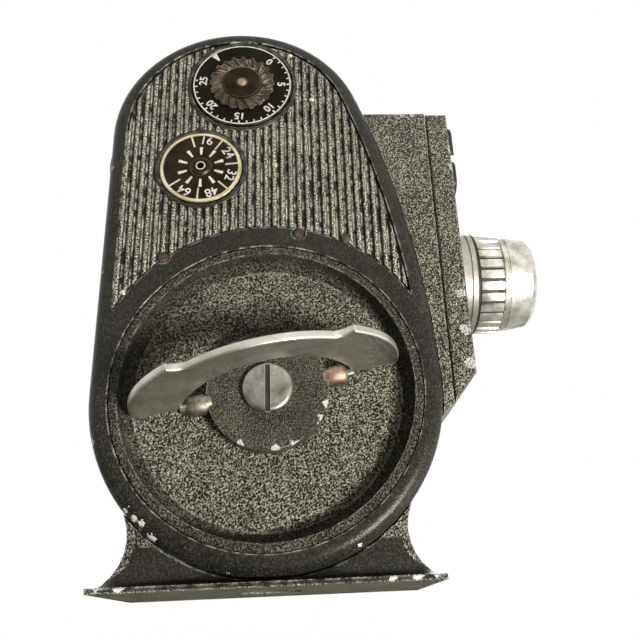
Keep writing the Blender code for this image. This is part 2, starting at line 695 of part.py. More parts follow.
def make_cover():
    body = prism(side_outline(), COVER_FACE, COVER_BACK)
    round_edges(body, on_plane(1, COVER_FACE), FACE_ROUNDING, 2)
    cover = piece("side_cover", body, "crackle")
    before = COVER_FACE - OVERSHOOT
    after = COVER_BACK + OVERSHOOT
    cut(cover, foot_room(before, after))
    cut(cover, rod(DISH_RADIUS + CLEARANCE, before, after, steps=FINE_STEPS), from_drum((0, 0)))
    cut(cover, prism(panel_outline(), before, COVER_FACE + PANEL_DEPTH))
    grooves = bmesh.new()
    first = -(DRUM_RADIUS - GROOVE_INSET) + GROOVE_WIDTH / 2
    last = panel_corner(GROOVE_INSET).x - GROOVE_WIDTH / 2
    for i in range(int((last - first) / RIB_PITCH) + 1):
        add_groove(grooves, first + RIB_PITCH * i)
    cut(cover, grooves)
    for x, rise, radius in ((FOOTAGE_X, FOOTAGE_RISE, FOOTAGE_RADIUS), (SPEED_X, SPEED_RISE, SPEED_RADIUS)):
        place = from_drum((x, rise))
        cut(cover, rod(radius + CLEARANCE, before, COVER_FACE + DIAL_SINK, steps=MIDDLE_STEPS), place)
        cut(cover, rod(DIAL_SHAFT_RADIUS + CLEARANCE, before, after, steps=SMALL_STEPS), place)
    for place in screw_places():
        bore = rod(COVER_SCREW_RADIUS + CLEARANCE, before, COVER_BACK - COVER_SCREW_FLOOR, steps=SMALL_STEPS)
        cut(cover, bore, from_drum(place))


def foot_room(start, end):
    """Room for the foot plate below the cover and below the door."""
    reach = DRUM_RADIUS + OVERSHOOT
    return block((-reach, start, -OVERSHOOT), (reach, end, FOOT_EDGE + CLEARANCE))


def panel_corner(inset, band_radius=DRUM_BAND_RADIUS):
    """The panel's lower front corner, where a band round the drum meets the inset outline."""
    return circles_meet(DRUM, band_radius, FRONT_CURVE, FRONT_CURVE_RADIUS - inset, -1)


def panel_outline():
    """The ribbed panel: the inset body outline above the drum's band."""
    corner = panel_corner(PANEL_MARGIN)
    corner_turn = math.atan2(*(corner - FRONT_CURVE).yx)
    front = arc(FRONT_CURVE, FRONT_CURVE_RADIUS - PANEL_MARGIN, corner_turn, ARCH_TANGENT, 5)
    top = arc(ARCH, ARCH_RADIUS - PANEL_MARGIN, ARCH_TANGENT, math.pi, 14)
    band_left = math.acos((PANEL_MARGIN - DRUM_RADIUS) / DRUM_BAND_RADIUS)
    band_right = math.atan2(*(corner - DRUM).yx)
    band = arc(DRUM, DRUM_BAND_RADIUS, band_left, band_right, 12)
    return front + top[1:] + band[:-1]


def add_groove(bm, x):
    """One groove between two ribs, from the drum's band to the panel's upper edge."""
    half = GROOVE_WIDTH / 2
    low = DRUM_HEIGHT + math.sqrt(DRUM_BAND_RADIUS**2 - x**2) + half
    high = min(panel_top(x - half), panel_top(x + half))
    depth = COVER_FACE + PANEL_DEPTH + GROOVE_DEPTH
    box = block((x - half, COVER_FACE - OVERSHOOT, low), (x + half, depth, high))
    mesh = bpy.data.meshes.new("groove")
    box.to_mesh(mesh)
    box.free()
    bm.from_mesh(mesh)
    bpy.data.meshes.remove(mesh)


def make_door():
    body = prism(side_outline(), DOOR_BACK, DOOR_FACE)
    round_edges(body, on_plane(1, DOOR_FACE), FACE_ROUNDING, 2)
    door = piece("film_door", body, "crackle")
    before = DOOR_BACK - OVERSHOOT
    after = DOOR_FACE + OVERSHOOT
    cut(door, foot_room(before, after))
    cut(door, cavity(before, DOOR_FACE - DOOR_SKIN))
    cut(door, rod(LATCH_SHAFT_RADIUS + CLEARANCE, before, after, steps=SMALL_STEPS), from_drum(LATCH_PLACE))


def make_latch():
    face = DOOR_FACE + CLEARANCE
    shaft = LATCH_SHAFT_RADIUS
    profile = [
        (0, LATCH_SHAFT_END),
        (shaft, LATCH_SHAFT_END),
        (shaft, face),
        (LATCH_RADIUS, face),
        (LATCH_RADIUS, face + LATCH_HEIGHT),
        (0, face + LATCH_HEIGHT),
    ]
    latch = piece("door_latch", turned(profile), "nickel", from_drum(LATCH_PLACE))
    reach = LATCH_RADIUS - LATCH_GRIP_WIDTH
    grip = bar((-reach, 0), (reach, 0), LATCH_GRIP_WIDTH / 2)
    join(latch, prism(grip, face + LATCH_HEIGHT / 2, LATCH_TOP), from_drum(LATCH_PLACE))


def make_front_plate():
    outline = [
        (PLATE_BACK, PLATE_LOW),
        (PLATE_FRONT, PLATE_CORNER_HEIGHT),
        (PLATE_FRONT, BLOCK_TOP),
        (PLATE_BACK, BLOCK_TOP),
    ]
    body = prism(outline, BLOCK_NEAR, BLOCK_FAR)
    round_edges(body, on_plane(0, PLATE_FRONT), PLATE_ROUNDING, 2)
    plate = piece("front_plate", body, "crackle")
    bores = (
        (LENS_THREAD_RADIUS, LENS_Y, LENS_Z),
        (FINDER_TUBE_RADIUS, FINDER_Y, FINDER_Z),
        (BUTTON_RADIUS, BUTTON_Y, BUTTON_Z),
    )
    for radius, y, z in bores:
        cut(plate, rod(radius + CLEARANCE, PLATE_BACK - OVERSHOOT, PLATE_FRONT + OVERSHOOT, "X"), (0, y, z))


def screw_places():
    """The cover screws' places from the drum axis."""
    reaches = [(math.radians(angle), DRUM_RADIUS + reach) for angle, reach in COVER_SCREWS]
    return [(reach * math.cos(turn), reach * math.sin(turn)) for turn, reach in reaches]


def make_screws():
    end = COVER_BACK - COVER_SCREW_FLOOR - CLEARANCE
    for i, place in enumerate(screw_places()):
        profile = [
            (0, COVER_FACE - COVER_SCREW_HEAD + PANEL_DEPTH),
            (COVER_SCREW_RADIUS, COVER_FACE + PANEL_DEPTH),
            (COVER_SCREW_RADIUS, end),
            (0, end),
        ]
        piece(f"cover_screw_{i + 1}", turned(profile, steps=SMALL_STEPS), "copper", from_drum(place))


def make_tripod_bush():
    piece("tripod_bush", tube(BUSH_RADIUS, BUSH_HOLE, CLEARANCE, BUSH_HEIGHT, "Z"), "steel")


# Winding key


def make_dish():
    inner = DISH_RADIUS - DISH_RIM
    fillet_centre = (inner - DISH_FILLET, DISH_FLOOR_Y - DISH_FILLET)
    fillet = arc(fillet_centre, DISH_FILLET, 0, math.pi / 2, 2)
    flange_front = COVER_BACK + CLEARANCE
    profile = [
        (ARBOR_RADIUS + CLEARANCE, DISH_FLOOR_Y),
        *reversed(fillet),
        (inner, COVER_FACE + EDGE_CHAMFER),
        (inner + EDGE_CHAMFER, COVER_FACE),
        (DISH_RADIUS, COVER_FACE),
        (DISH_RADIUS, flange_front),
        (DISH_RADIUS + DISH_FLANGE, flange_front),
        (DISH_RADIUS + DISH_FLANGE, DISH_BACK),
        (ARBOR_RADIUS + CLEARANCE, DISH_BACK),
    ]
    piece("key_dish", turned(profile, steps=FINE_STEPS), "crackle", from_drum((0, 0)))


def make_key():
    key_axis = empty("key_axis", from_drum((0, 0)), camera_frame, (0, -KEY_TURN, 0))
    hinge = empty("handle_hinge", (0, PIVOT_Y, 0), key_axis, (-KEY_LEAN, 0, 0))
    make_hub(key_axis)
    make_handle(hinge)
    for side, name in ((-1, "handle_pin_left"), (1, "handle_pin_right")):
        ends = sorted((side * PIN_START, side * PIN_END))
        piece(name, rod(PIN_RADIUS, *ends, "X", SMALL_STEPS), "steel", (0, PIVOT_Y, 0), key_axis)
    make_hub_screw(key_axis)
    make_arbor(key_axis)


def make_hub(key_axis):
    bore = SCREW_SHANK_RADIUS + CLEARANCE
    edge = HUB_RADIUS - HUB_CHAMFER
    profile = [
        (bore, HUB_BACK),
        (HUB_RADIUS, HUB_BACK),
        (HUB_RADIUS, HUB_FRONT + HUB_CHAMFER),
        (edge, HUB_FRONT),
        (bore, HUB_FRONT),
    ]
    hub = piece("winding_hub", turned(profile, steps=FINE_STEPS), "enamel", parent=key_axis)
    for side in (-1, 1):
        ends = sorted((side * (HUB_RADIUS - EAR_ROOT), side * EAR_END))
        join(hub, rod(EAR_RADIUS, *ends, "X", SMALL_STEPS), (0, PIVOT_Y, 0))
        ends = sorted((side * (PIN_START - CLEARANCE), side * (EAR_END + OVERSHOOT)))
        cut(hub, rod(PIN_RADIUS + CLEARANCE, *ends, "X", SMALL_STEPS), (0, PIVOT_Y, 0))


def handle_outline():
    """The half-moon key in its own plane: X along the pivot, Y up from it."""
    foot_turn = math.asin(-HANDLE_FOOT_DROP / 2 / HANDLE_OUTER_RADIUS)
    horn_turn = math.acos(HORN_HALF_WIDTH / HANDLE_OUTER_RADIUS)
    side = arc((0, 0), HANDLE_OUTER_RADIUS, foot_turn, horn_turn, 8)
    rise = CREST_HEIGHT - DIP_HEIGHT
    crest_radius = (DIP_HALF_WIDTH**2 + rise**2) / (2 * rise)
    half_turn = math.asin(DIP_HALF_WIDTH / crest_radius)
    crest_centre = (0, CREST_HEIGHT - crest_radius)
    crest = arc(crest_centre, crest_radius, math.pi / 2 - half_turn, math.pi / 2 + half_turn, 12)
    left_side = [(-x, y) for x, y in reversed(side)]
    inner = []
    count = 14
    for i in range(count + 1):
        turn = math.pi * (1 - i / count)
        share = max(0.0, math.sin(turn)) ** ARCH_CUT_POWER
        height = ARCH_CUT_START + (ARCH_CUT_HEIGHT - ARCH_CUT_START) * share
        inner.append((ARCH_CUT_HALF_WIDTH * math.cos(turn), height))
    foot_outer = HANDLE_OUTER_RADIUS - HANDLE_FOOT_DROP
    right_foot = [(HANDLE_INNER_FOOT, -HANDLE_FOOT_DROP), (foot_outer, -HANDLE_FOOT_DROP)]
    left_foot = [(-foot_outer, -HANDLE_FOOT_DROP), (-HANDLE_INNER_FOOT, -HANDLE_FOOT_DROP)]
    return right_foot + side + crest + left_side + left_foot + inner


def make_handle(hinge):
    half = HANDLE_THICKNESS / 2
    body = prism([(x, -y) for x, y in handle_outline()], HANDLE_OFFSET - half, HANDLE_OFFSET + half, "Z")
    for side in (-1, 1):
        round_edges(body, on_plane(2, HANDLE_OFFSET + side * half), HANDLE_ROUNDING, 2)
    handle = piece("key_handle", body, "nickel", parent=hinge)
    for side in (-1, 1):
        ends = sorted((side * HANDLE_INNER_FOOT, side * EYE_END))
        join(handle, rod(EYE_RADIUS, *ends, "X", SMALL_STEPS))
        ends = sorted((side * (HANDLE_INNER_FOOT - OVERSHOOT), side * (PIN_END + CLEARANCE)))
        cut(handle, rod(PIN_RADIUS + CLEARANCE, *ends, "X", SMALL_STEPS))


def make_hub_screw(key_axis):
    seat = HUB_FRONT - CLEARANCE
    top = seat - SCREW_HEAD_HEIGHT
    profile = [
        (0, top),
        (SCREW_HEAD_RADIUS - EDGE_CHAMFER, top),
        (SCREW_HEAD_RADIUS, top + EDGE_CHAMFER),
        (SCREW_HEAD_RADIUS, seat),
        (SCREW_SHANK_RADIUS, seat),
        (SCREW_SHANK_RADIUS, seat + SCREW_LENGTH),
        (0, seat + SCREW_LENGTH),
    ]
    screw = piece("hub_screw", turned(profile), "nickel", parent=key_axis)
    half = SCREW_SLOT_WIDTH / 2
    reach = SCREW_HEAD_RADIUS + OVERSHOOT
    cut(screw, block((-half, top - OVERSHOOT, -reach), (half, top + SCREW_SLOT_DEPTH, reach)))


def make_arbor(key_axis):
    bore = SCREW_SHANK_RADIUS + CLEARANCE
    top = HUB_BACK + CLEARANCE
    bore_end = HUB_FRONT + SCREW_LENGTH + CLEARANCE
    shoulder = PARTITION_NEAR - CLEARANCE
    profile = [
        (0, bore_end),
        (bore, bore_end),
        (bore, top),
        (ARBOR_RADIUS, top),
        (ARBOR_RADIUS, shoulder),
        (JOURNAL_RADIUS, shoulder),
        (JOURNAL_RADIUS, PARTITION_NEAR + PIVOT_DEPTH),
        (0, PARTITION_NEAR + PIVOT_DEPTH),
    ]
    piece("winding_arbor", turned(profile), "steel", parent=key_axis)
    far = RATCHET_NEAR + RATCHET_THICKNESS
    wheel = prism(ratchet_outline(), RATCHET_NEAR, far)
    ratchet = piece("ratchet_wheel", wheel, "steel", parent=key_axis)
    cut(ratchet, rod(ARBOR_RADIUS + CLEARANCE, RATCHET_NEAR - OVERSHOOT, far + OVERSHOOT))


def ratchet_outline():
    """Saw teeth: each rises slowly and drops along a radius."""
    points = []
    for i in range(RATCHET_TEETH):
        turn = 2 * math.pi * i / RATCHET_TEETH
        for radius in (RATCHET_RADIUS - RATCHET_TOOTH, RATCHET_RADIUS):
            points.append((radius * math.cos(turn), radius * math.sin(turn)))
    return points


def make_click():
    pivot = DRUM + Vector(CLICK_PIVOT)
    toward = -Vector(CLICK_PIVOT)
    tip = toward.normalized() * (toward.length - RATCHET_RADIUS - CLEARANCE - CLICK_HALF_WIDTH)
    lever = bar((0.0, 0.0), tip, CLICK_HALF_WIDTH)
    body = prism(lever, RATCHET_NEAR, RATCHET_NEAR + RATCHET_THICKNESS)
    click = piece("click", body, "steel", (pivot.x, 0, pivot.y))
    pin = rod(ARBOR_PIVOT_RADIUS, RATCHET_NEAR, PARTITION_NEAR + PIVOT_DEPTH, steps=SMALL_STEPS)
    join(click, pin, (pivot.x, 0, pivot.y))


# Dials


def make_dials():
    seat = COVER_FACE + DIAL_SINK - CLEARANCE
    face = seat - DIAL_THICKNESS
    shaft_end = COVER_BACK + CLEARANCE
    dials = (
        ("footage_dial", FOOTAGE_X, FOOTAGE_RISE, FOOTAGE_RADIUS, "enamel", 0, 0),
        ("speed_dial", SPEED_X, SPEED_RISE, SPEED_RADIUS, "brass", SPEED_BOSS_RADIUS, SPEED_BOSS_HEIGHT),
    )
    for name, x, rise, radius, finish, boss, boss_height in dials:
        centre = [(0, face - boss_height)]
        if boss:
            centre += [(boss, face - boss_height), (boss, face)]
        profile = centre + [
            (radius - EDGE_CHAMFER, face),
            (radius, face + EDGE_CHAMFER),
            (radius, seat),
            (DIAL_SHAFT_RADIUS, seat),
            (DIAL_SHAFT_RADIUS, shaft_end),
            (0, shaft_end),
        ]
        piece(name, turned(profile, steps=MIDDLE_STEPS), finish, from_drum((x, rise)))
    outline = []
    for i in range(FOOTAGE_KNOB_TEETH):
        for radius, share in ((FOOTAGE_KNOB_RADIUS - KNOB_TOOTH_DEPTH, 0.0), (FOOTAGE_KNOB_RADIUS, 0.35)):
            turn = 2 * math.pi * (i + share) / FOOTAGE_KNOB_TEETH
            outline.append((radius * math.cos(turn), radius * math.sin(turn)))
    knob_back = face - CLEARANCE
    knob = prism(outline, knob_back - FOOTAGE_KNOB_HEIGHT, knob_back)
    piece("footage_knob", knob, "brass", from_drum((FOOTAGE_X, FOOTAGE_RISE)))


# Lens


def lens_place(x=0.0):
    return (x, LENS_Y, LENS_Z)


def make_lens():
    rear = PLATE_FRONT - LENS_REAR_LENGTH
    sleeve_end = BARREL_START + LENS_SLEEVE_REACH
    mount = [
        (LENS_BORE, rear),
        (LENS_THREAD_RADIUS, rear),
        (LENS_THREAD_RADIUS, LENS_SEAT),
        (LENS_FLANGE_RADIUS, LENS_SEAT),
        (LENS_FLANGE_RADIUS, FLANGE_END),
        (LENS_SLEEVE_RADIUS, FLANGE_END),
        (LENS_SLEEVE_RADIUS, sleeve_end),
        (LENS_BORE, sleeve_end),
    ]
    piece("lens_mount", turned(mount, "X", MIDDLE_STEPS), "aluminium", lens_place())
    outline = []
    for i in range(FLUTE_COUNT):
        for depth, share in ((0, -0.3), (0, 0.3), (FLUTE_DEPTH, 0.38), (FLUTE_DEPTH, 0.62)):
            radius = FLUTED_RING_RADIUS - depth
            turn = 2 * math.pi * (i + share) / FLUTE_COUNT
            outline.append((radius * math.cos(turn), radius * math.sin(turn)))
    ring = piece("aperture_ring", prism(outline, RING_START, RING_END, "X"), "aluminium", lens_place())
    ends = (RING_START - OVERSHOOT, RING_END + OVERSHOOT)
    cut(ring, rod(LENS_SLEEVE_RADIUS + CLEARANCE, *ends, "X", MIDDLE_STEPS), lens_place())
    glass_back = BARREL_END - FRONT_GLASS_SINK - FRONT_GLASS_THICKNESS
    seat = FRONT_GLASS_RADIUS - GLASS_LEDGE
    barrel = [
        (LENS_SLEEVE_RADIUS + CLEARANCE, BARREL_START),
        (BARREL_RADIUS, BARREL_START),
        (BARREL_FRONT_RADIUS, BARREL_END - BARREL_BEVEL),
        (BARREL_FRONT_RADIUS - BARREL_BEVEL, BARREL_END),
        (FRONT_GLASS_RADIUS + CLEARANCE, BARREL_END - FRONT_GLASS_SINK / 2),
        (FRONT_GLASS_RADIUS + CLEARANCE, glass_back),
        (seat, glass_back),
        (seat, sleeve_end + CLEARANCE),
        (LENS_SLEEVE_RADIUS + CLEARANCE, sleeve_end + CLEARANCE),
    ]
    piece("lens_barrel", turned(barrel, "X", MIDDLE_STEPS), "aluminium", lens_place())
    front = BARREL_END - FRONT_GLASS_SINK
    glass = [
        (0, glass_back + CLEARANCE),
        (FRONT_GLASS_RADIUS, glass_back + CLEARANCE),
        (FRONT_GLASS_RADIUS, front - FRONT_GLASS_BULGE),
        (FRONT_GLASS_RADIUS / 2, front - FRONT_GLASS_BULGE / 4),
        (0, front),
    ]
    piece("front_glass", turned(glass, "X"), "glass", lens_place())
    rear += REAR_GLASS_SINK
    rear_glass = rod(LENS_BORE - CLEARANCE, rear, rear + REAR_GLASS_THICKNESS, "X")
    piece("rear_glass", rear_glass, "glass", lens_place())
    iris = tube(LENS_BORE - CLEARANCE, IRIS_OPENING, FLANGE_END, FLANGE_END + IRIS_THICKNESS, "X")
    piece("iris_plate", iris, "steel", lens_place())


# Finder


def make_finder():
    place = (0, FINDER_Y, FINDER_Z)
    front = PLATE_FRONT - CLEARANCE
    rear = -DRUM_RADIUS + WALL / 2
    inner = FINDER_TUBE_RADIUS - FINDER_TUBE_WALL
    piece("finder_tube", tube(FINDER_TUBE_RADIUS, inner, rear, front, "X"), "enamel", place)
    outline = rounded_rectangle(BEZEL_HALF_WIDTH, BEZEL_HALF_HEIGHT, BEZEL_CORNER)
    bezel_back = PLATE_FRONT + CLEARANCE
    bezel_front = PLATE_FRONT + BEZEL_PROUD
    bezel = piece("finder_bezel", prism(outline, bezel_back, bezel_front, "X"), "enamel", place)
    cut(bezel, rod(FINDER_TUBE_RADIUS, bezel_back - OVERSHOOT, bezel_front + OVERSHOOT, "X"), place)
    glass_radius = inner - CLEARANCE
    glass = rod(glass_radius, front - FINDER_GLASS_THICKNESS, front, "X")
    piece("finder_glass", glass, "glass", place)
    back = -DRUM_RADIUS - CLEARANCE
    eyepiece = [
        (0, rear - CLEARANCE),
        (FINDER_TUBE_RADIUS, rear - CLEARANCE),
        (FINDER_TUBE_RADIUS, back),
        (FINDER_TUBE_RADIUS, back - EYEPIECE_LENGTH),
        (0, back - EYEPIECE_LENGTH / 2),
    ]
    piece("finder_eyepiece", turned(eyepiece, "X"), "glass", place)


# Controls


def make_button():
    profile = [
        (0, BLOCK_FRONT - CLEARANCE),
        (BUTTON_RADIUS, BLOCK_FRONT - CLEARANCE),
        (BUTTON_RADIUS, PLATE_FRONT + BUTTON_PROUD - BUTTON_CHAMFER),
        (BUTTON_RADIUS - BUTTON_CHAMFER, PLATE_FRONT + BUTTON_PROUD),
        (0, PLATE_FRONT + BUTTON_PROUD),
    ]
    piece("release_button", turned(profile, "X"), "nickel", (0, BUTTON_Y, BUTTON_Z))


# Spring and gear train


def make_barrel():
    phase = math.atan2(*(WHEEL - DRUM).yx)
    gear = prism(gear_outline(BARREL_TEETH, TRAIN_MODULE, phase), GEAR_NEAR, GEAR_FAR)
    barrel = piece("spring_barrel", gear, "brass", from_drum((0, 0)))
    before = BARREL_NEAR - OVERSHOOT
    drum = rod(BARREL_DRUM_RADIUS, BARREL_NEAR, (GEAR_NEAR + GEAR_FAR) / 2, steps=MIDDLE_STEPS)
    join(barrel, drum, from_drum((0, 0)))
    hollow = rod(BARREL_DRUM_RADIUS - BARREL_WALL, before, GEAR_NEAR, steps=MIDDLE_STEPS)
    cut(barrel, hollow, from_drum((0, 0)))
    cut(barrel, rod(ARBOR_RADIUS + CLEARANCE, before, GEAR_FAR + OVERSHOOT), from_drum((0, 0)))
    make_spring()


def make_spring():
    """A flat spiral strip from the arbor to the barrel wall."""
    inner = ARBOR_RADIUS + CLEARANCE + SPRING_THICKNESS / 2
    outer = BARREL_DRUM_RADIUS - BARREL_WALL - CLEARANCE - SPRING_THICKNESS / 2
    count = SPRING_COIL_COUNT * SPRING_STEPS
    sides = ([], [])
    for i in range(count + 1):
        turn = 2 * math.pi * i / SPRING_STEPS
        radius = inner + (outer - inner) * i / count
        for side, offset in zip(sides, (-1, 1)):
            reach = radius + offset * SPRING_THICKNESS / 2
            side.append((reach * math.cos(turn), reach * math.sin(turn)))
    strip = bmesh.new()
    depths = (BARREL_NEAR + CLEARANCE, GEAR_NEAR - CLEARANCE)
    rows = []
    for i in range(count + 1):
        corners = ((0, 0), (1, 0), (1, 1), (0, 1))
        rows.append([strip.verts.new(on_axis("Y", *sides[s][i], depths[d])) for s, d in corners])
    strip.faces.new(rows[0])
    strip.faces.new(rows[-1])
    for row, after in zip(rows, rows[1:]):
        for i in range(4):
            j = (i + 1) % 4
            strip.faces.new((row[i], row[j], after[j], after[i]))
    bmesh.ops.recalc_face_normals(strip, faces=strip.faces)
    piece("mainspring", strip, "steel", from_drum((0, 0)))


def arbor_profile(near, far):
    """A thin arbor between the mechanism plate and the partition."""
    return rod(ARBOR_PIVOT_RADIUS, near, far, steps=SMALL_STEPS)


def make_train():
    arbor_near = MECHANISM_PLATE_NEAR
    arbor_far = PARTITION_NEAR + PIVOT_DEPTH
    barrel_phase = math.atan2(*(WHEEL - DRUM).yx)
    wheel_phase = mesh_phase(DRUM, BARREL_TEETH, barrel_phase, WHEEL, WHEEL_TEETH)
    place = (WHEEL.x, 0, WHEEL.y)
    teeth = gear_outline(WHEEL_TEETH, TRAIN_MODULE, wheel_phase)
    wheel = piece("intermediate_wheel", prism(teeth, GEAR_NEAR, GEAR_FAR), "brass", place)
    join(wheel, arbor_profile(arbor_near, arbor_far), place)

    crown_phase = mesh_phase(WHEEL, WHEEL_TEETH, wheel_phase, CROWN, PINION_TEETH)
    place = (CROWN.x, 0, CROWN.y)
    teeth = gear_outline(PINION_TEETH, TRAIN_MODULE, crown_phase)
    crown = piece("crown_wheel", prism(teeth, GEAR_NEAR, CROWN_WEB_NEAR + CROWN_DISH / 2), "brass", place)
    join(crown, crown_ring(0.0), place)
    join(crown, arbor_profile(arbor_near, arbor_far), place)

    governor_phase = mesh_phase(WHEEL, WHEEL_TEETH, wheel_phase, GOVERNOR, PINION_TEETH)
    place = (GOVERNOR.x, 0, GOVERNOR.y)
    teeth = gear_outline(PINION_TEETH, TRAIN_MODULE, governor_phase)
    governor = piece("governor", prism(teeth, GEAR_NEAR, GEAR_FAR), "brass", place)
    inside = GOVERNOR_RADIUS - GOVERNOR_RIM
    weight = [
        (0, GOVERNOR_NEAR),
        (GOVERNOR_RADIUS, GOVERNOR_NEAR),
        (GOVERNOR_RADIUS, GOVERNOR_NEAR + GOVERNOR_THICKNESS),
        (inside, GOVERNOR_NEAR + GOVERNOR_THICKNESS),
        (inside, GOVERNOR_NEAR + GOVERNOR_THICKNESS / 2),
        (0, GOVERNOR_NEAR + GOVERNOR_THICKNESS / 2),
    ]
    join(governor, turned(weight), place)
    join(governor, arbor_profile(arbor_near, arbor_far), place)


def crown_ring(phase):
    """The crown wheel's disc, with teeth standing up from its rim, one of them at the angle phase."""
    pitch = 2 * math.pi / CROWN_TEETH
    outer = CROWN_RADIUS + CROWN_FACE_WIDTH / 2
    inner = CROWN_RADIUS - CROWN_FACE_WIDTH / 2
    tip = CROWN_WEB_FAR + CROWN_TOOTH_HEIGHT
    web = CROWN_WEB_FAR - CROWN_DISH
    bm = bmesh.new()
    rows = []
    for i in range(CROWN_TEETH):
        flanks = ((CROWN_WEB_FAR, -TOOTH_ROOT_SHARE), (tip, 0), (CROWN_WEB_FAR, TOOTH_ROOT_SHARE))
        for height, share in flanks:
            turn = phase + (i + share) * pitch
            corners = ((outer, CROWN_WEB_NEAR), (outer, height), (inner, height), (inner, web))
            x, z = math.cos(turn), math.sin(turn)
            rows.append([bm.verts.new((r * x, y, r * z)) for r, y in corners])
    for i, row in enumerate(rows):
        after = rows[(i + 1) % len(rows)]
        for k in range(3):
            bm.faces.new((row[k], row[k + 1], after[k + 1], after[k]))
    for k in (0, 3):
        bm.faces.new([row[k] for row in rows])
    bmesh.ops.recalc_face_normals(bm, faces=bm.faces)
    return bm


def make_mechanism_plate():
    inset = WALL + MECHANISM_PLATE_MARGIN
    front_radius = FRONT_CURVE_RADIUS - inset
    corner = panel_corner(inset, MECHANISM_PLATE_LOW_RADIUS)
    corner_turn = math.atan2(*(corner - FRONT_CURVE).yx)
    top = DRUM_HEIGHT + MECHANISM_PLATE_TOP
    left = inset - DRUM_RADIUS
    left_turn = math.acos(left / MECHANISM_PLATE_LOW_RADIUS)
    low = arc(DRUM, MECHANISM_PLATE_LOW_RADIUS, left_turn, math.atan2(*(corner - DRUM).yx), 14)
    front = arc(FRONT_CURVE, front_radius, corner_turn, math.asin((top - FRONT_CURVE.y) / front_radius), 4)
    outline = low + front[1:] + [(left, top)]
    far = MECHANISM_PLATE_NEAR + MECHANISM_PLATE_THICKNESS
    plate = piece("mechanism_plate", prism(outline, MECHANISM_PLATE_NEAR, far), "brass")
    for pivot in (WHEEL, CROWN, GOVERNOR):
        ends = (MECHANISM_PLATE_NEAR - OVERSHOOT, far + OVERSHOOT)
        cut(plate, rod(ARBOR_PIVOT_RADIUS + CLEARANCE, *ends, steps=SMALL_STEPS), (pivot.x, 0, pivot.y))


# Shutter and film path


def make_shutter():
    place = (0, SHUTTER_Y, SHUTTER_Z)
    start = CROWN_X + CROWN_RADIUS - CROWN_FACE_WIDTH / 2
    gap_phase = math.pi + math.pi / SHUTTER_PINION_TEETH
    teeth = gear_outline(SHUTTER_PINION_TEETH, CROWN_MODULE, gap_phase)
    pinion = prism(teeth, start, start + CROWN_FACE_WIDTH, "X")
    shaft = piece("shutter_shaft", pinion, "steel", place)
    end = SHUTTER_X + SHUTTER_THICKNESS + 2 * CLEARANCE
    join(shaft, rod(SHUTTER_SHAFT_RADIUS, start + CROWN_FACE_WIDTH / 2, end, "X", SMALL_STEPS), place)
    half_open = math.radians(SHUTTER_OPEN_ANGLE) / 2
    toward_lens = math.atan2(LENS_Z - SHUTTER_Z, LENS_Y - SHUTTER_Y)
    blade = arc((0, 0), SHUTTER_RADIUS, toward_lens + half_open, toward_lens + 2 * math.pi - half_open, 24)
    hub_side = arc((0, 0), SHUTTER_HUB_RADIUS, toward_lens - half_open, toward_lens + half_open, 8)
    far = SHUTTER_X + SHUTTER_THICKNESS
    disc = piece("shutter_disc", prism(blade + hub_side, SHUTTER_X, far, "X"), "enamel", place)
    bore = rod(SHUTTER_SHAFT_RADIUS + CLEARANCE, SHUTTER_X - OVERSHOOT, far + OVERSHOOT, "X", SMALL_STEPS)
    cut(disc, bore, place)


def claw_place():
    """The middle of the claw's stroke, beside the picture on the inner row of holes."""
    return (0, CLAW_Y, LENS_Z)


def make_gate():
    back = GATE_FRONT - GATE_THICKNESS
    half = GATE_HALF_HEIGHT
    plate = block((back, GATE_NEAR, LENS_Z - half), (GATE_FRONT, GATE_FAR, LENS_Z + half))
    gate = piece("film_gate", plate, "steel")
    ends = (back - OVERSHOOT, GATE_FRONT + OVERSHOOT)
    window = rounded_rectangle(GATE_WINDOW_WIDTH / 2, GATE_WINDOW_HEIGHT / 2, GATE_CORNER, 1)
    cut(gate, prism(window, *ends, "X"), lens_place())
    claw_slot = rounded_rectangle(CLAW_TIP / 2 + CLEARANCE, FRAME_PITCH, GATE_CORNER, 2)
    cut(gate, prism(claw_slot, *ends, "X"), claw_place())
    front = back - FILM_GAP
    half = PRESSURE_PLATE_HALF_HEIGHT
    back = front - PRESSURE_PLATE_THICKNESS
    plate = block((back, GATE_NEAR, LENS_Z - half), (front, GATE_FAR, LENS_Z + half))
    pressure = piece("pressure_plate", plate, "steel")
    cut(pressure, prism(claw_slot, back - OVERSHOOT, front + OVERSHOOT, "X"), claw_place())


def make_claw():
    near = SHUTTER_ROOM_BACK + CLEARANCE
    _, y, z = claw_place()
    top = z + FRAME_PITCH / 2 + CLAW_TIP / 2
    body = block(
        (near, y - CLAW_WIDTH / 2, top - CLAW_TIP),
        (near + CLAW_THICKNESS, y + CLAW_WIDTH / 2, top - CLAW_TIP + CLAW_LENGTH),
    )
    claw = piece("pulldown_claw", body, "steel")
    back = GATE_FRONT - GATE_THICKNESS - FILM_GAP / 2
    half = CLAW_TIP / 2
    tip = block((back, y - half, top - CLAW_TIP), (near + CLAW_THICKNESS / 2, y + half, top))
    join(claw, tip)


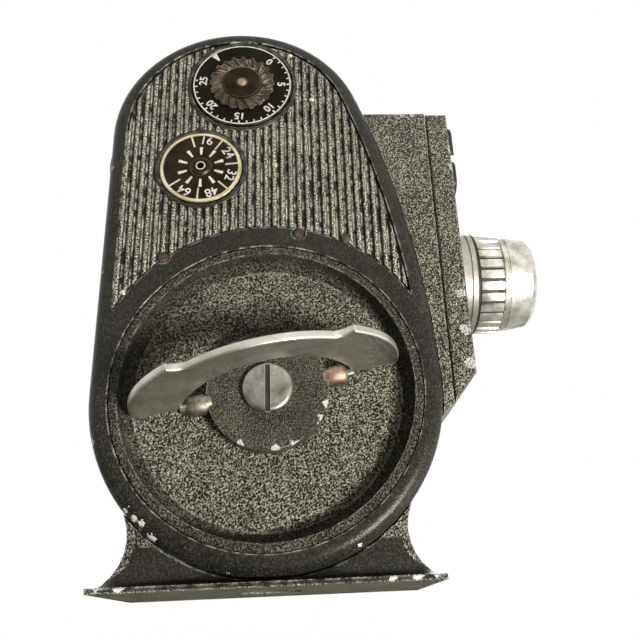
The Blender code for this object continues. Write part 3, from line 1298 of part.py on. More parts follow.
def make_spools():
    core = SPOOL_CORE
    bore = SPINDLE_RADIUS + CLEARANCE
    profile = [
        (bore, SPOOL_NEAR),
        (SPOOL_RADIUS, SPOOL_NEAR),
        (SPOOL_RADIUS, SPOOL_NEAR + SPOOL_FLANGE),
        (core, SPOOL_NEAR + SPOOL_FLANGE),
        (core, SPOOL_FAR - SPOOL_FLANGE),
        (SPOOL_RADIUS, SPOOL_FAR - SPOOL_FLANGE),
        (SPOOL_RADIUS, SPOOL_FAR),
        (bore, SPOOL_FAR),
    ]
    for name, place in (("feed", FEED_PLACE), ("takeup", TAKEUP_PLACE)):
        piece(f"{name}_spool", turned(profile), "enamel", from_drum(place))
        spindle = rod(SPINDLE_RADIUS, SPINDLE_INNER_END, SPOOL_FAR - CLEARANCE, steps=SMALL_STEPS)
        piece(f"{name}_spindle", spindle, "steel", from_drum(place))


make_casting()
make_cover()
make_door()
make_latch()
make_front_plate()
make_screws()
make_tripod_bush()
make_dish()
make_key()
make_click()
make_dials()
make_lens()
make_finder()
make_button()
make_barrel()
make_train()
make_mechanism_plate()
make_shutter()
make_gate()
make_claw()
make_spools()
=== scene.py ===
"""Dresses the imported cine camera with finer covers, key, dials, lens and finishes, in a plain studio."""
import json
import math

import bpy
from mathutils import Matrix, Vector


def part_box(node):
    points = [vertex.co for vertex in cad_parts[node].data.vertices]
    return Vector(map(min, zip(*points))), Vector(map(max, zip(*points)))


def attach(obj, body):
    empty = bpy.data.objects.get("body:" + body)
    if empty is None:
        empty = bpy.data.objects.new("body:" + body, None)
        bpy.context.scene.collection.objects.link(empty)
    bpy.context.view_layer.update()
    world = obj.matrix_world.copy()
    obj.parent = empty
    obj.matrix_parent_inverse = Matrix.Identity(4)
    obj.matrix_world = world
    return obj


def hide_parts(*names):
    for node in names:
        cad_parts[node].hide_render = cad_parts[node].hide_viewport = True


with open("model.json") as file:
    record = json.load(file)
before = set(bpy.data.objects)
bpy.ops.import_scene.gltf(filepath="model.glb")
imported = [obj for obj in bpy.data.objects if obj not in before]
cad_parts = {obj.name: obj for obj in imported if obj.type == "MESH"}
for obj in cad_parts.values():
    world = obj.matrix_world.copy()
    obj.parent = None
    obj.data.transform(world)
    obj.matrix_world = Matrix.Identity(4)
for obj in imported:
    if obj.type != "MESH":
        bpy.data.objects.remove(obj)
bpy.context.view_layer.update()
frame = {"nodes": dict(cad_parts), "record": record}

bl_info = {
    "name": "Cine camera dressing",
    "version": (1, 0, 0),
    "blender": (4, 5, 0),
    "location": "View3D > Sidebar > Cine camera",
    "description": "Models the visible pieces of a spring-wound cine camera over its CAD frame",
    "category": "Object",
}

MM = 0.001

# The camera's own frame: X from the drum's axis, Y from the middle plane, Z from the underside of the foot.
FACE_DEPTH = 20.0 * MM
DISH_LOW, DISH_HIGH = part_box("key_dish")
ORIGIN = Vector(((DISH_LOW.x + DISH_HIGH.x) / 2, DISH_LOW.y + FACE_DEPTH, 0.0))
HOME = Matrix.Translation(ORIGIN)
DRUM_HEIGHT = (DISH_LOW.z + DISH_HIGH.z) / 2
DISH_RADIUS = (DISH_HIGH.x - DISH_LOW.x) / 2

# Points on the bow, the arch and the drum, for the body's outline and for the ribbed panel's.
OUTLINE_POINTS = (24, 64, 96)
PANEL_POINTS = (20, 48, 40)

# Steps across the rounding of the two covers' outer edges, and the shape of every rounding: a true arc.
FACE_ROUNDING_STEPS = 6
ROUND_PROFILE = 0.5

# Room round the dish, round the pieces that sit in the cover, and from a rib's end to its stop.
DISH_GAP = 0.15 * MM
SEAT_GAP = 0.2 * MM
RIB_GAP = 0.35 * MM

# How far a cutting tool reaches past the piece that it cuts, and how near counts as the same place.
OVERSHOOT = MM
SAME_PLACE = 0.01 * MM
WELD = 0.001 * MM

# The heads beside the dish, and both dials: their faces, their seats and the radius of their shafts.
SCREW_NUMBERS = (1, 2, 3)
DIAL_FACE = -20.2 * MM
DIAL_SEAT = -18.7 * MM
DIAL_SHAFT = 1.6 * MM
DIAL_GROWTH = {"footage_dial": 1.0, "speed_dial": 1.04}


def own_box(node):
    """A node's corners in the camera's own frame."""
    low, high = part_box(node)
    return low - ORIGIN, high - ORIGIN


def middle(node):
    """The middle of a node's box in the camera's own frame."""
    low, high = own_box(node)
    return (low + high) / 2


def round_node(node, axis="Y"):
    """The flat centre and the radius of a round node, seen along an axis."""
    low, high = own_box(node)
    across, up = {"X": (1, 2), "Y": (0, 2), "Z": (0, 1)}[axis]
    centre = ((low[across] + high[across]) / 2, (low[up] + high[up]) / 2)
    return centre, (high[across] - low[across]) / 2


def length(name, description, millimetres):
    """A length that the user may change, given in millimetres and kept in metres."""
    return bpy.props.FloatProperty(
        name=name, description=description, default=millimetres * MM, unit="LENGTH", precision=5
    )


def angle(name, description, degrees):
    """An angle that the user may change, given in degrees and kept in radians."""
    return bpy.props.FloatProperty(
        name=name, description=description, default=math.radians(degrees), subtype="ANGLE"
    )


def colour(name, description, value):
    """A colour that the user may change."""
    return bpy.props.FloatVectorProperty(
        name=name, description=description, default=value, subtype="COLOR", min=0.0, max=1.0
    )


class BodySizes(bpy.types.PropertyGroup):
    """Sizes of the covers, the ribs and the foot."""

    drum_radius: length("Drum radius", "Radius of the round lower half", 36.0)
    arch_radius: length("Arch radius", "Radius of the arched top", 29.7)
    arch_offset: length("Arch offset", "Place of the arch's centre along X, from the drum's axis", -6.3)
    arch_rise: length("Arch rise", "Height of the arch's centre above the drum's axis", 63.0)
    bow_radius: length("Bow radius", "Radius of the long curve between the drum and the arch", 230.0)
    face: length("Cover face", "Depth of the ribbed cover's face", -20.0)
    cover_back: length("Cover back", "Depth of the ribbed cover's back", -15.5)
    door_back: length("Door joint", "Depth of the joint between the casting and the film door", 16.3)
    door_face: length("Door face", "Depth of the film door's outer face", 21.5)
    face_rounding: length("Face rounding", "Rounding of the covers' outer edges", 3.0)
    skin: length("Door skin", "Thickness of the film door's skin", 1.5)
    panel_margin: length("Panel margin", "Plain rim round the ribbed panel", 3.7)
    panel_depth: length("Panel depth", "Depth of the floor between the ribs", 1.1)
    drum_band: length("Drum band", "Plain band between the drum and the ribs", 0.6)
    rib_pitch: length("Rib pitch", "Distance from rib to rib", 1.87)
    rib_width: length("Rib width", "Width of one rib at its root", 1.30)
    rib_sink: length("Rib sink", "How far the ribs' tops lie below the face", 0.25)
    foot_edge: length("Foot edge", "Height of the foot plate", 1.0)


class KeySizes(bpy.types.PropertyGroup):
    """Sizes of the dish and the winding key."""

    dish_rim: length("Dish rim", "Width of the flat rim round the dish", 1.8)
    dish_floor: length("Dish floor", "Depth of the dish's floor", -15.0)
    dish_fillet: length("Dish fillet", "Rounding between the dish's floor and wall", 2.2)
    hinge_depth: length("Hinge depth", "Depth of the handle's pivot", -17.4)
    handle_thickness: length("Handle thickness", "Thickness of the half-moon handle", 1.8)
    handle_offset: length("Handle offset", "How far the handle's middle lies above its pivot", 1.2)
    handle_radius: length("Handle radius", "Outer radius of the handle", 27.8)
    handle_rounding: length("Handle rounding", "Rounding of the handle's edges", 0.6)
    turn: angle("Key turn", "How far the key is wound at rest", 10.9)
    lean: angle("Handle lean", "How far the handle leans at rest", 1.65)


class DialSizes(bpy.types.PropertyGroup):
    """Sizes of the two dials' marks."""

    mark_proud: length("Mark height", "How far painted marks stand proud of a dial", 0.04)
    collar: length("Dial collar", "Width of the plain collar round each dial", 1.1)
    figure_height: length("Figure height", "Height of the footage dial's figures", 1.85)
    speed_figure_height: length("Speed figure height", "Height of the speed dial's figures", 2.15)


class FinishColours(bpy.types.PropertyGroup):
    """Base colours of the finishes."""

    paint: colour("Crackle paint", "Black crackle paint in its hollows", (0.008, 0.0075, 0.006))
    # The grain's tone is partly the paint's own grain and partly painted glints on its tops.
    grain: colour("Crackle grain", "Tops of the crackle paint's grain", (0.42, 0.395, 0.30))
    enamel: colour("Enamel", "Smooth black enamel", (0.006, 0.0042, 0.0028))
    nickel: colour("Nickel", "Tarnished nickel plate", (0.64, 0.61, 0.535))
    aluminium: colour("Aluminium", "Satin turned aluminium", (0.76, 0.74, 0.665))
    brass: colour("Brass", "Bright brass", (0.80, 0.73, 0.50))
    copper: colour("Copper", "Coppered steel of a lug and a pin", (0.46, 0.30, 0.22))
    steel: colour("Steel", "Plain steel inside", (0.45, 0.44, 0.42))
    cream: colour("Mark paint", "Cream paint of the marks", (0.70, 0.67, 0.58))


# Outlines

def arc(centre, radius, start, end, count):
    """Points on a circle from one turn to another."""
    turns = [start + (end - start) * i / (count - 1) for i in range(count)]
    return [(centre[0] + radius * math.cos(t), centre[1] + radius * math.sin(t)) for t in turns]


def ring_points(radius, count, centre=(0.0, 0.0)):
    """A whole circle of points."""
    return arc(centre, radius, 0.0, 2 * math.pi * (count - 1) / count, count)


def circles_meet(first, first_radius, second, second_radius, side):
    """The point at the two given distances from two centres."""
    between = second - first
    gap = between.length
    along = (first_radius**2 - second_radius**2 + gap**2) / (2 * gap)
    unit = between / gap
    across = Vector((-unit.y, unit.x))
    return first + unit * along + across * side * math.sqrt(first_radius**2 - along**2)


def turn_of(vector):
    """A flat vector's angle from the first axis."""
    return math.atan2(vector.y, vector.x)


class SideView:
    """The circles that the body's outline is made of."""

    def __init__(self, body):
        self.body = body
        self.drum = Vector((0.0, DRUM_HEIGHT))
        self.arch = Vector((body.arch_offset, DRUM_HEIGHT + body.arch_rise))
        self.bow = circles_meet(
            self.drum, body.bow_radius - body.drum_radius, self.arch, body.bow_radius - body.arch_radius, 1
        )
        self.drum_turn = turn_of(self.drum - self.bow)
        self.arch_turn = turn_of(self.arch - self.bow)

    def outline(self, inset=0.0):
        """The body's outline, moved inward by the inset."""
        body = self.body
        on_bow, on_arch, on_drum = OUTLINE_POINTS
        front = arc(self.bow, body.bow_radius - inset, self.drum_turn, self.arch_turn, on_bow)
        top = arc(self.arch, body.arch_radius - inset, self.arch_turn, math.pi, on_arch)
        lower = arc(self.drum, body.drum_radius - inset, math.pi, 2 * math.pi + self.drum_turn, on_drum)
        return front + top[1:] + lower[:-1]

    def panel(self):
        """The ribbed panel: the inset outline above the drum's band."""
        body = self.body
        band = body.drum_radius + body.drum_band
        inset = body.panel_margin
        bow_radius = body.bow_radius - inset
        on_bow, on_arch, on_drum = PANEL_POINTS
        corner = circles_meet(self.bow, bow_radius, self.drum, band, 1)
        if corner.x < 0:
            corner = circles_meet(self.bow, bow_radius, self.drum, band, -1)
        front = arc(self.bow, bow_radius, turn_of(corner - self.bow), self.arch_turn, on_bow)
        top = arc(self.arch, body.arch_radius - inset, self.arch_turn, math.pi, on_arch)
        left = math.acos((inset - body.drum_radius) / band)
        lower = arc(self.drum, band, left, turn_of(corner - self.drum), on_drum)
        return front + top[1:] + lower[:-1]

    def rib_ends(self, x):
        """The lower and upper end of a rib at the place x."""
        body = self.body
        band = body.drum_radius + body.drum_band + RIB_GAP
        inset = body.panel_margin + RIB_GAP
        low = self.drum.y + math.sqrt(max(0.0, band**2 - x**2))
        radius = body.arch_radius - inset
        if x < self.arch.x + radius * math.cos(self.arch_turn):
            high = self.arch.y + math.sqrt(max(0.0, radius**2 - (x - self.arch.x) ** 2))
        else:
            high = self.bow.y + math.sqrt((body.bow_radius - inset) ** 2 - (x - self.bow.x) ** 2)
        return low, high


def rectangle(left, low, right, high):
    """A rectangle's four corners."""
    return [(left, low), (right, low), (right, high), (left, high)]


def rounded_rectangle(half_width, half_height, corner, count=8, centre=(0.0, 0.0)):
    """A rectangle with round corners."""
    points = []
    for i, (sx, sz) in enumerate(((1, 1), (-1, 1), (-1, -1), (1, -1))):
        place = (centre[0] + sx * (half_width - corner), centre[1] + sz * (half_height - corner))
        points += arc(place, corner, i * math.pi / 2, (i + 1) * math.pi / 2, count)
    return points


# Modelling steps

def clear_selection():
    """Leaves nothing selected, in object mode."""
    if bpy.context.object and bpy.context.object.mode != "OBJECT":
        bpy.ops.object.mode_set(mode="OBJECT")
    bpy.ops.object.select_all(action="DESELECT")


def take(piece):
    """Selects one piece and makes it the active one."""
    clear_selection()
    piece.select_set(True)
    bpy.context.view_layer.objects.active = piece


def on_axis(axis, across, up, along):
    """A point from two flat coordinates and a place along an axis."""
    return {"X": (along, across, up), "Y": (across, along, up), "Z": (across, up, along)}[axis]


def stack(name, points, levels, axis="Y"):
    """A solid from a flat outline, extruded through the levels along an axis."""
    clear_selection()
    bpy.ops.mesh.primitive_circle_add(vertices=len(points), radius=MM, fill_type="NGON")
    piece = bpy.context.object
    piece.name = name
    for vertex, point in zip(piece.data.vertices, points):
        vertex.co = on_axis(axis, point[0], point[1], levels[0])
    bpy.ops.object.mode_set(mode="EDIT")
    bpy.ops.mesh.select_all(action="SELECT")
    for before, after in zip(levels, levels[1:]):
        step = on_axis(axis, 0.0, 0.0, after - before)
        bpy.ops.mesh.extrude_region_move(TRANSFORM_OT_translate={"value": step})
    bpy.ops.mesh.select_all(action="SELECT")
    bpy.ops.mesh.normals_make_consistent(inside=False)
    bpy.ops.object.mode_set(mode="OBJECT")
    return piece


def turned(name, profile, centre=(0.0, 0.0), axis="Y", steps=64):
    """A solid spun from a closed profile of radius and place along the axis."""
    clear_selection()
    bpy.ops.mesh.primitive_circle_add(vertices=len(profile), radius=MM, fill_type="NOTHING")
    piece = bpy.context.object
    piece.name = name
    for vertex, (radius, along) in zip(piece.data.vertices, profile):
        vertex.co = on_axis(axis, centre[0] + radius, centre[1], along)
    bpy.ops.object.mode_set(mode="EDIT")
    bpy.ops.mesh.select_all(action="SELECT")
    middle_point = on_axis(axis, centre[0], centre[1], 0.0)
    direction = on_axis(axis, 0.0, 0.0, 1.0)
    bpy.ops.mesh.spin(steps=steps, angle=2 * math.pi, center=middle_point, axis=direction)
    bpy.ops.mesh.select_all(action="SELECT")
    bpy.ops.mesh.remove_doubles(threshold=WELD)
    bpy.ops.mesh.delete_loose()
    bpy.ops.mesh.select_all(action="SELECT")
    bpy.ops.mesh.normals_make_consistent(inside=False)
    bpy.ops.object.mode_set(mode="OBJECT")
    return piece


def rod(radius, start, end, centre=(0.0, 0.0), axis="Y", steps=48):
    """A plain round rod: a shaft, a pin or the tool for a bore."""
    return stack("round_rod", ring_points(radius, steps, centre), (start, end), axis)


def at_level(axis, place):
    """Picks the points at one place along an axis."""
    index = "XYZ".index(axis)
    return lambda point: abs(point[index] - place) < SAME_PLACE


def round_edges(piece, pick, width, segments=3):
    """Rounds the edges whose two ends are picked."""
    take(piece)
    bpy.ops.object.mode_set(mode="EDIT")
    bpy.ops.mesh.select_mode(type="EDGE")
    bpy.ops.mesh.select_all(action="DESELECT")
    bpy.ops.object.mode_set(mode="OBJECT")
    picked = [pick(vertex.co) for vertex in piece.data.vertices]
    for edge in piece.data.edges:
        edge.select = all(picked[i] for i in edge.vertices)
    bpy.ops.object.mode_set(mode="EDIT")
    bpy.ops.mesh.bevel(
        offset=width, offset_type="OFFSET", segments=segments, profile=ROUND_PROFILE, clamp_overlap=True
    )
    bpy.ops.mesh.select_all(action="SELECT")
    bpy.ops.mesh.normals_make_consistent(inside=False)
    bpy.ops.object.mode_set(mode="OBJECT")
    return piece


def discard(piece):
    """Removes a piece and its mesh."""
    mesh = piece.data
    bpy.data.objects.remove(piece)
    bpy.data.meshes.remove(mesh)


def cut(piece, tool):
    """Cuts a tool out of a piece and removes the tool."""
    take(piece)
    modifier = piece.modifiers.new("cut", "BOOLEAN")
    modifier.object = tool
    modifier.operation = "DIFFERENCE"
    modifier.solver = "EXACT"
    bpy.ops.object.modifier_apply(modifier=modifier.name)
    discard(tool)
    if not piece.data.polygons:
        raise RuntimeError(f"{piece.name} is empty after a cut")
    return piece


def reshape(piece, move):
    """Moves each point of a piece by a function."""
    for vertex in piece.data.vertices:
        vertex.co = move(vertex.co)
    return piece


def copied(piece, name):
    """A copy of a piece with its own mesh."""
    made = bpy.data.objects.new(name, piece.data.copy())
    bpy.context.scene.collection.objects.link(made)
    return made


def joined(pieces, name):
    """Several pieces as one."""
    clear_selection()
    for piece in pieces:
        piece.select_set(True)
    bpy.context.view_layer.objects.active = pieces[0]
    bpy.ops.object.join()
    pieces[0].name = name
    return pieces[0]


def turned_about(centre, turn, along=0.0):
    """A flat mark's matrix on a dial: clockwise from the top, tops outward, facing the viewer."""
    right = Vector((math.cos(turn), 0.0, -math.sin(turn)))
    up = Vector((math.sin(turn), 0.0, math.cos(turn)))
    out = Vector((0.0, -1.0, 0.0))
    matrix = Matrix((right, up, out)).transposed().to_4x4()
    matrix.translation = Vector((centre[0], along, centre[1]))
    return matrix


def figures(text, height, thickness, matrix, bold=0.035):
    """Plain figures as a mesh, placed by a matrix and made bolder by a share of their height."""
    font_size_to_height = 1.4
    clear_selection()
    bpy.ops.object.text_add()
    piece = bpy.context.object
    piece.data.body = text
    piece.data.size = height * font_size_to_height
    piece.data.align_x = "CENTER"
    piece.data.align_y = "CENTER"
    piece.data.extrude = thickness
    piece.data.offset = bold * height
    piece.data.resolution_u = 4
    bpy.ops.object.convert(target="MESH")
    piece = bpy.context.object
    piece.data.transform(matrix)
    return piece


def place_piece(piece, body, material, nodes=(), matrix=HOME, crease=35.0):
    """Puts a finished piece on its body with its finish, smooth up to the crease angle in degrees."""
    take(piece)
    bpy.ops.object.shade_smooth_by_angle(angle=math.radians(crease))
    piece.data.transform(matrix)
    piece.data.materials.clear()
    piece.data.materials.append(bpy.data.materials[material])
    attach(piece, body)
    if nodes:
        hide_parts(*nodes)
    return piece


# Finishes

def add(tree, kind, inputs=None, **settings):
    """One shader node, with its sockets linked or set."""
    made = tree.nodes.new("ShaderNode" + kind)
    for name, value in settings.items():
        setattr(made, name, value)
    for key, value in (inputs or {}).items():
        if isinstance(value, bpy.types.NodeSocket):
            tree.links.new(value, made.inputs[key])
        else:
            made.inputs[key].default_value = value
    return made


class Finish:
    """A material under construction, with the node steps that the finishes share."""

    def __init__(self, name):
        self.material = bpy.data.materials.new(name)
        self.material.use_nodes = True
        self.tree = self.material.node_tree
        self.tree.nodes.clear()
        self.place = add(self.tree, "TexCoord").outputs["Object"]

    def mapped(self, scale):
        """The place on the piece, stretched."""
        return add(self.tree, "Mapping", {"Vector": self.place, "Scale": scale}).outputs[0]

    def noise(self, per_metre, detail=2.0, roughness=0.55, place=None):
        """Soft noise with so many features to the metre."""
        inputs = {
            "Vector": place or self.place, "Scale": per_metre, "Detail": detail, "Roughness": roughness,
        }
        return add(self.tree, "TexNoise", inputs).outputs[0]

    def ramp(self, value, low, high, start=0.0, end=1.0):
        """A value from one range to another, held at its ends."""
        inputs = {"Value": value, "From Min": low, "From Max": high, "To Min": start, "To Max": end}
        return add(self.tree, "MapRange", inputs, clamp=True).outputs[0]

    def tones(self, value, stops):
        """A value turned into colours through the given stops."""
        node = add(self.tree, "ValToRGB", {0: value})
        marks = node.color_ramp.elements
        while len(marks) < len(stops):
            marks.new(1.0)
        for mark, (place, tone) in zip(marks, stops):
            mark.position = place
            mark.color = opaque(tone)
        return node.outputs[0]

    def sum(self, operation, first, second=0.0):
        """One arithmetic step."""
        return add(self.tree, "Math", {0: first, 1: second}, operation=operation).outputs[0]

    def mix(self, factor, first, second):
        """Two colours mixed by a factor."""
        inputs = {0: factor, 6: first, 7: second}
        return add(self.tree, "Mix", inputs, data_type="RGBA").outputs[2]

    def edges(self, radius, low, high):
        """How near a sharp edge is, from the difference that rounding it would make."""
        soft = add(self.tree, "Bevel", {"Radius": radius}, samples=4).outputs[0]
        plain = add(self.tree, "NewGeometry").outputs["Normal"]
        dot = add(self.tree, "VectorMath", {0: soft, 1: plain}, operation="DOT_PRODUCT").outputs["Value"]
        return self.ramp(self.sum("SUBTRACT", 1.0, dot), low, high)

    def hollows(self, reach, low, high):
        """Painted shade: most in narrow hollows, nothing on open surfaces."""
        inputs = {"Distance": reach}
        open_share = add(self.tree, "AmbientOcclusion", inputs, samples=4, only_local=True).outputs["AO"]
        darkest = 0.85
        return self.ramp(open_share, low, high, darkest, 0.0)

    def distance(self, place):
        """The distance to a place in the camera's own frame."""
        inputs = {0: self.place, 1: ORIGIN + Vector(place)}
        return add(self.tree, "VectorMath", inputs, operation="DISTANCE").outputs["Value"]

    def spots(self, places, ragged):
        """Worn spots: one where the surface is near any of the places, with a ragged edge."""
        found = None
        for x, y, z, radius in places:
            near = self.sum("ADD", self.distance((x * MM, y * MM, z * MM)), ragged)
            spot = self.sum("LESS_THAN", near, radius * MM)
            found = spot if found is None else self.sum("MAXIMUM", found, spot)
        return found

    def bump(self, height, distance, strength=1.0, normal=None):
        """A surface normal from a height."""
        inputs = {"Height": height, "Distance": distance, "Strength": strength}
        if normal:
            inputs["Normal"] = normal
        return add(self.tree, "Bump", inputs).outputs[0]

    def close(self, **inputs):
        """Ends the tree with one principled shader."""
        named = {key.replace("_", " ").title().replace("Ior", "IOR"): value for key, value in inputs.items()}
        shader = add(self.tree, "BsdfPrincipled", named)
        end = self.tree.nodes.new("ShaderNodeOutputMaterial")
        self.tree.links.new(shader.outputs[0], end.inputs[0])
        return self.material


def opaque(value):
    """A colour with full alpha."""
    return (value[0], value[1], value[2], 1.0)


# Worn spots of the crackle paint: X, Y and Z in the camera's own frame and the radius, in millimetres.
CHIPS = (
    (-26.0, -18.3, 15.0, 1.4), (-24.6, -18.6, 13.4, 1.1), (-23.4, -18.6, 12.2, 1.3),
    (-21.5, -18.4, 9.8, 1.1), (-7.0, -18.0, 3.2, 0.9), (16.6, -18.2, 6.8, 1.0),
    (27.4, -20.0, 0.8, 1.0), (33.0, -18.4, 1.0, 1.2), (22.8, -20.0, 0.7, 0.8),
    (31.0, -20.0, 1.2, 0.8), (-30.6, -20.0, 1.3, 1.1), (-26.7, -20.0, 0.6, 0.9),
    (-33.0, -19.0, 1.2, 1.0), (-35.4, -18.0, 100.6, 0.9), (-35.2, -18.0, 95.6, 0.8),
    (-34.9, -18.4, 90.4, 0.9), (-34.9, -18.4, 64.0, 0.8), (-34.3, -18.5, 28.0, 0.9),
    (-35.6, -17.2, 98.2, 0.8), (-35.2, -17.5, 86.0, 0.8), (45.2, -14.8, 104.8, 1.3),
    (44.0, -16.9, 96.5, 1.2), (45.1, -14.8, 94.6, 1.4), (44.0, -16.8, 91.0, 1.3),
    (42.2, -17.0, 58.6, 1.3), (42.4, -17.0, 50.0, 1.2), (42.6, -17.0, 42.5, 1.4),
    (32.8, -17.0, 106.0, 0.9), (35.2, -17.0, 106.3, 0.8), (1.5, -18.8, 25.2, 1.1),
    (5.0, -18.8, 26.2, 0.9), (-5.5, -18.8, 26.4, 0.9), (10.6, -18.8, 30.9, 0.9),
    (12.0, -18.8, 34.0, 0.8), (24.0, 21.5, 0.8, 1.2), (-29.0, 21.5, 0.9, 1.0),
    (-33.5, 19.9, 84.0, 0.9), (22.0, 19.8, 112.0, 0.9),
)


def make_crackle(colours, name, light, bumps, specular, per_metre=2700.0, rib_tops=None):
    """Black crackle paint: light grain over black, its tops partly painted glints, painted shade in hollows
    and below rib tops, bare metal on worn edges and spots.
    """
    dust_tone = (0.075, 0.060, 0.038)
    painted_shade_tone = (0.004, 0.0035, 0.003)
    dull_metal = (0.52, 0.49, 0.42)
    bright_metal = (0.90, 0.87, 0.78)
    shine_tone = (1.0, 0.95, 0.82)
    half_tone_share = 0.26
    finish = Finish(name)
    grain = finish.noise(per_metre, 2.0, 0.5)
    patches = finish.ramp(finish.noise(140.0, 3.0), 0.30, 0.70, -0.03, 0.03)
    level = finish.sum("ADD", grain, patches)
    # The tops are lighter than the black paint partly as painted glints; light scales them, so the copies of
    # this paint are lighter or darker partly as painted light.
    grain_and_glint_tone = [light * part for part in colours.grain]
    grain_and_glint_half_tone = [half_tone_share * part for part in grain_and_glint_tone]
    base = finish.tones(level, ((0.38, colours.paint), (0.51, grain_and_glint_half_tone), (0.68, grain_and_glint_tone)))
    dust = finish.ramp(finish.noise(420.0, 4.0, 0.7), 0.58, 0.80, 0.0, 0.4)
    base = finish.mix(dust, base, opaque(dust_tone))
    # Painted shade: below the rib tops, on the ribs' sides and the floor between them, the colour fades to
    # the black paint.
    if rib_tops is not None:
        depth = add(finish.tree, "SeparateXYZ", {0: finish.place}).outputs["Y"]
        side = finish.ramp(depth, rib_tops + 0.06 * MM, rib_tops + 0.30 * MM, 0.0, 0.92)
        base = finish.mix(side, base, opaque(colours.paint))
    # Painted shade: the paint darkens to near black in narrow hollows, where shade falls.
    painted_shade = finish.hollows(1.3 * MM, 0.35, 0.85)
    base = finish.mix(painted_shade, base, opaque(painted_shade_tone))
    ragged = finish.ramp(finish.noise(900.0, 4.0, 0.7), 0.25, 0.75, -0.6 * MM, 0.9 * MM)
    worn_edge = finish.edges(0.7 * MM, 0.05, 0.24)
    broken = finish.ramp(finish.noise(420.0, 4.0, 0.7), 0.44, 0.60)
    wear = finish.sum("MULTIPLY", worn_edge, broken)
    wear = finish.sum("MAXIMUM", wear, finish.spots(CHIPS, ragged))
    bare = finish.mix(finish.noise(1200.0), opaque(dull_metal), opaque(bright_metal))
    base = finish.mix(wear, base, bare)
    roughness = finish.ramp(grain, 0.35, 0.70, 0.36, 0.22)
    round_normal = add(finish.tree, "Bevel", {"Radius": 0.35 * MM}, samples=4).outputs[0]
    normal = finish.bump(grain, bumps, 1.0, round_normal)
    return finish.close(
        base_color=base, roughness=roughness, specular_ior_level=specular, specular_tint=opaque(shine_tone),
        normal=normal,
    )


def make_enamel(name, tone, rubbed, specular, per_metre, worn):
    """Smooth enamel, rubbed lighter in places, with edges worn to the metal."""
    bare_metal = (0.62, 0.58, 0.48)
    finish = Finish(name)
    rub = finish.noise(per_metre, 4.0, 0.6)
    base = finish.mix(finish.ramp(rub, 0.42, 0.70), opaque(tone), opaque(rubbed))
    edge = finish.edges(0.35 * MM, 0.05, 0.22)
    broken = finish.ramp(finish.noise(300.0, 3.0), worn, worn + 0.14)
    wear = finish.sum("MULTIPLY", edge, broken)
    base = finish.mix(wear, base, opaque(bare_metal))
    scratches = finish.noise(500.0, 3.0, 0.6, finish.mapped((1.0, 1.0, 9.0)))
    roughness = finish.ramp(scratches, 0.3, 0.7, 0.30, 0.48)
    normal = finish.bump(scratches, 0.02 * MM, 0.5)
    return finish.close(base_color=base, roughness=roughness, specular_ior_level=specular, normal=normal)


def make_metal(name, base, dark, stretch, rough, tarnish_per_metre=180.0, edge_rub_and_highlight=None):
    """A metal with tarnish patches, drawn or turned lines and lighter edges, partly rubbed bright and partly
    a painted highlight.
    """
    finish = Finish(name)
    patches = finish.ramp(finish.noise(tarnish_per_metre, 4.0, 0.6), 0.38, 0.68)
    tone = finish.mix(patches, opaque(base), opaque(dark))
    # Lighter colour near sharp edges: partly rubbed metal, partly a painted highlight.
    if edge_rub_and_highlight:
        tone = finish.mix(finish.edges(0.5 * MM, 0.03, 0.20), tone, opaque(edge_rub_and_highlight))
    lines = finish.noise(600.0, 3.0, 0.65, finish.mapped(stretch))
    roughness = finish.ramp(lines, 0.3, 0.7, rough[0], rough[1])
    normal = finish.bump(lines, 0.03 * MM, 0.35)
    return finish.close(base_color=tone, metallic=1.0, roughness=roughness, normal=normal)


def make_mark_paint(colours):
    """Cream mark paint, a little yellowed and thin in places."""
    yellowed = (0.42, 0.38, 0.28)
    finish = Finish("mark_paint")
    age = finish.ramp(finish.noise(700.0, 3.0), 0.40, 0.75)
    base = finish.mix(age, opaque(colours.cream), opaque(yellowed))
    roughness = finish.ramp(age, 0.0, 1.0, 0.45, 0.65)
    return finish.close(base_color=base, roughness=roughness)


def make_glass():
    """Slightly coated optical glass."""
    cool_tint = (0.88, 0.92, 0.95)
    warm_tint = (0.95, 0.93, 0.88)
    finish = Finish("optical_glass")
    smear = finish.ramp(finish.noise(160.0, 3.0), 0.3, 0.7, 0.01, 0.05)
    tint = finish.mix(finish.noise(60.0), opaque(cool_tint), opaque(warm_tint))
    return finish.close(base_color=tint, roughness=smear, ior=1.52, transmission_weight=1.0)


def make_lining():
    """Dull black lining of bores and gaps, and black sheets of painted shade in the screw's slot and the
    aperture ring's flutes.
    """
    black = (0.006, 0.006, 0.006)
    dusty = (0.022, 0.020, 0.017)
    finish = Finish("black_lining_and_painted_shade")
    dust = finish.ramp(finish.noise(400.0, 4.0), 0.45, 0.75)
    base = finish.mix(dust, opaque(black), opaque(dusty))
    roughness = finish.ramp(dust, 0.0, 1.0, 0.55, 0.75)
    return finish.close(base_color=base, roughness=roughness)


SLOT_FINISH = {
    "crackle": "crackle_paint",
    "enamel": "black_enamel",
    "nickel": "worn_nickel",
    "aluminium": "satin_aluminium",
    "steel": "plain_steel",
    "brass": "bright_brass",
    "copper": "coppered_steel",
    "glass": "optical_glass",
}


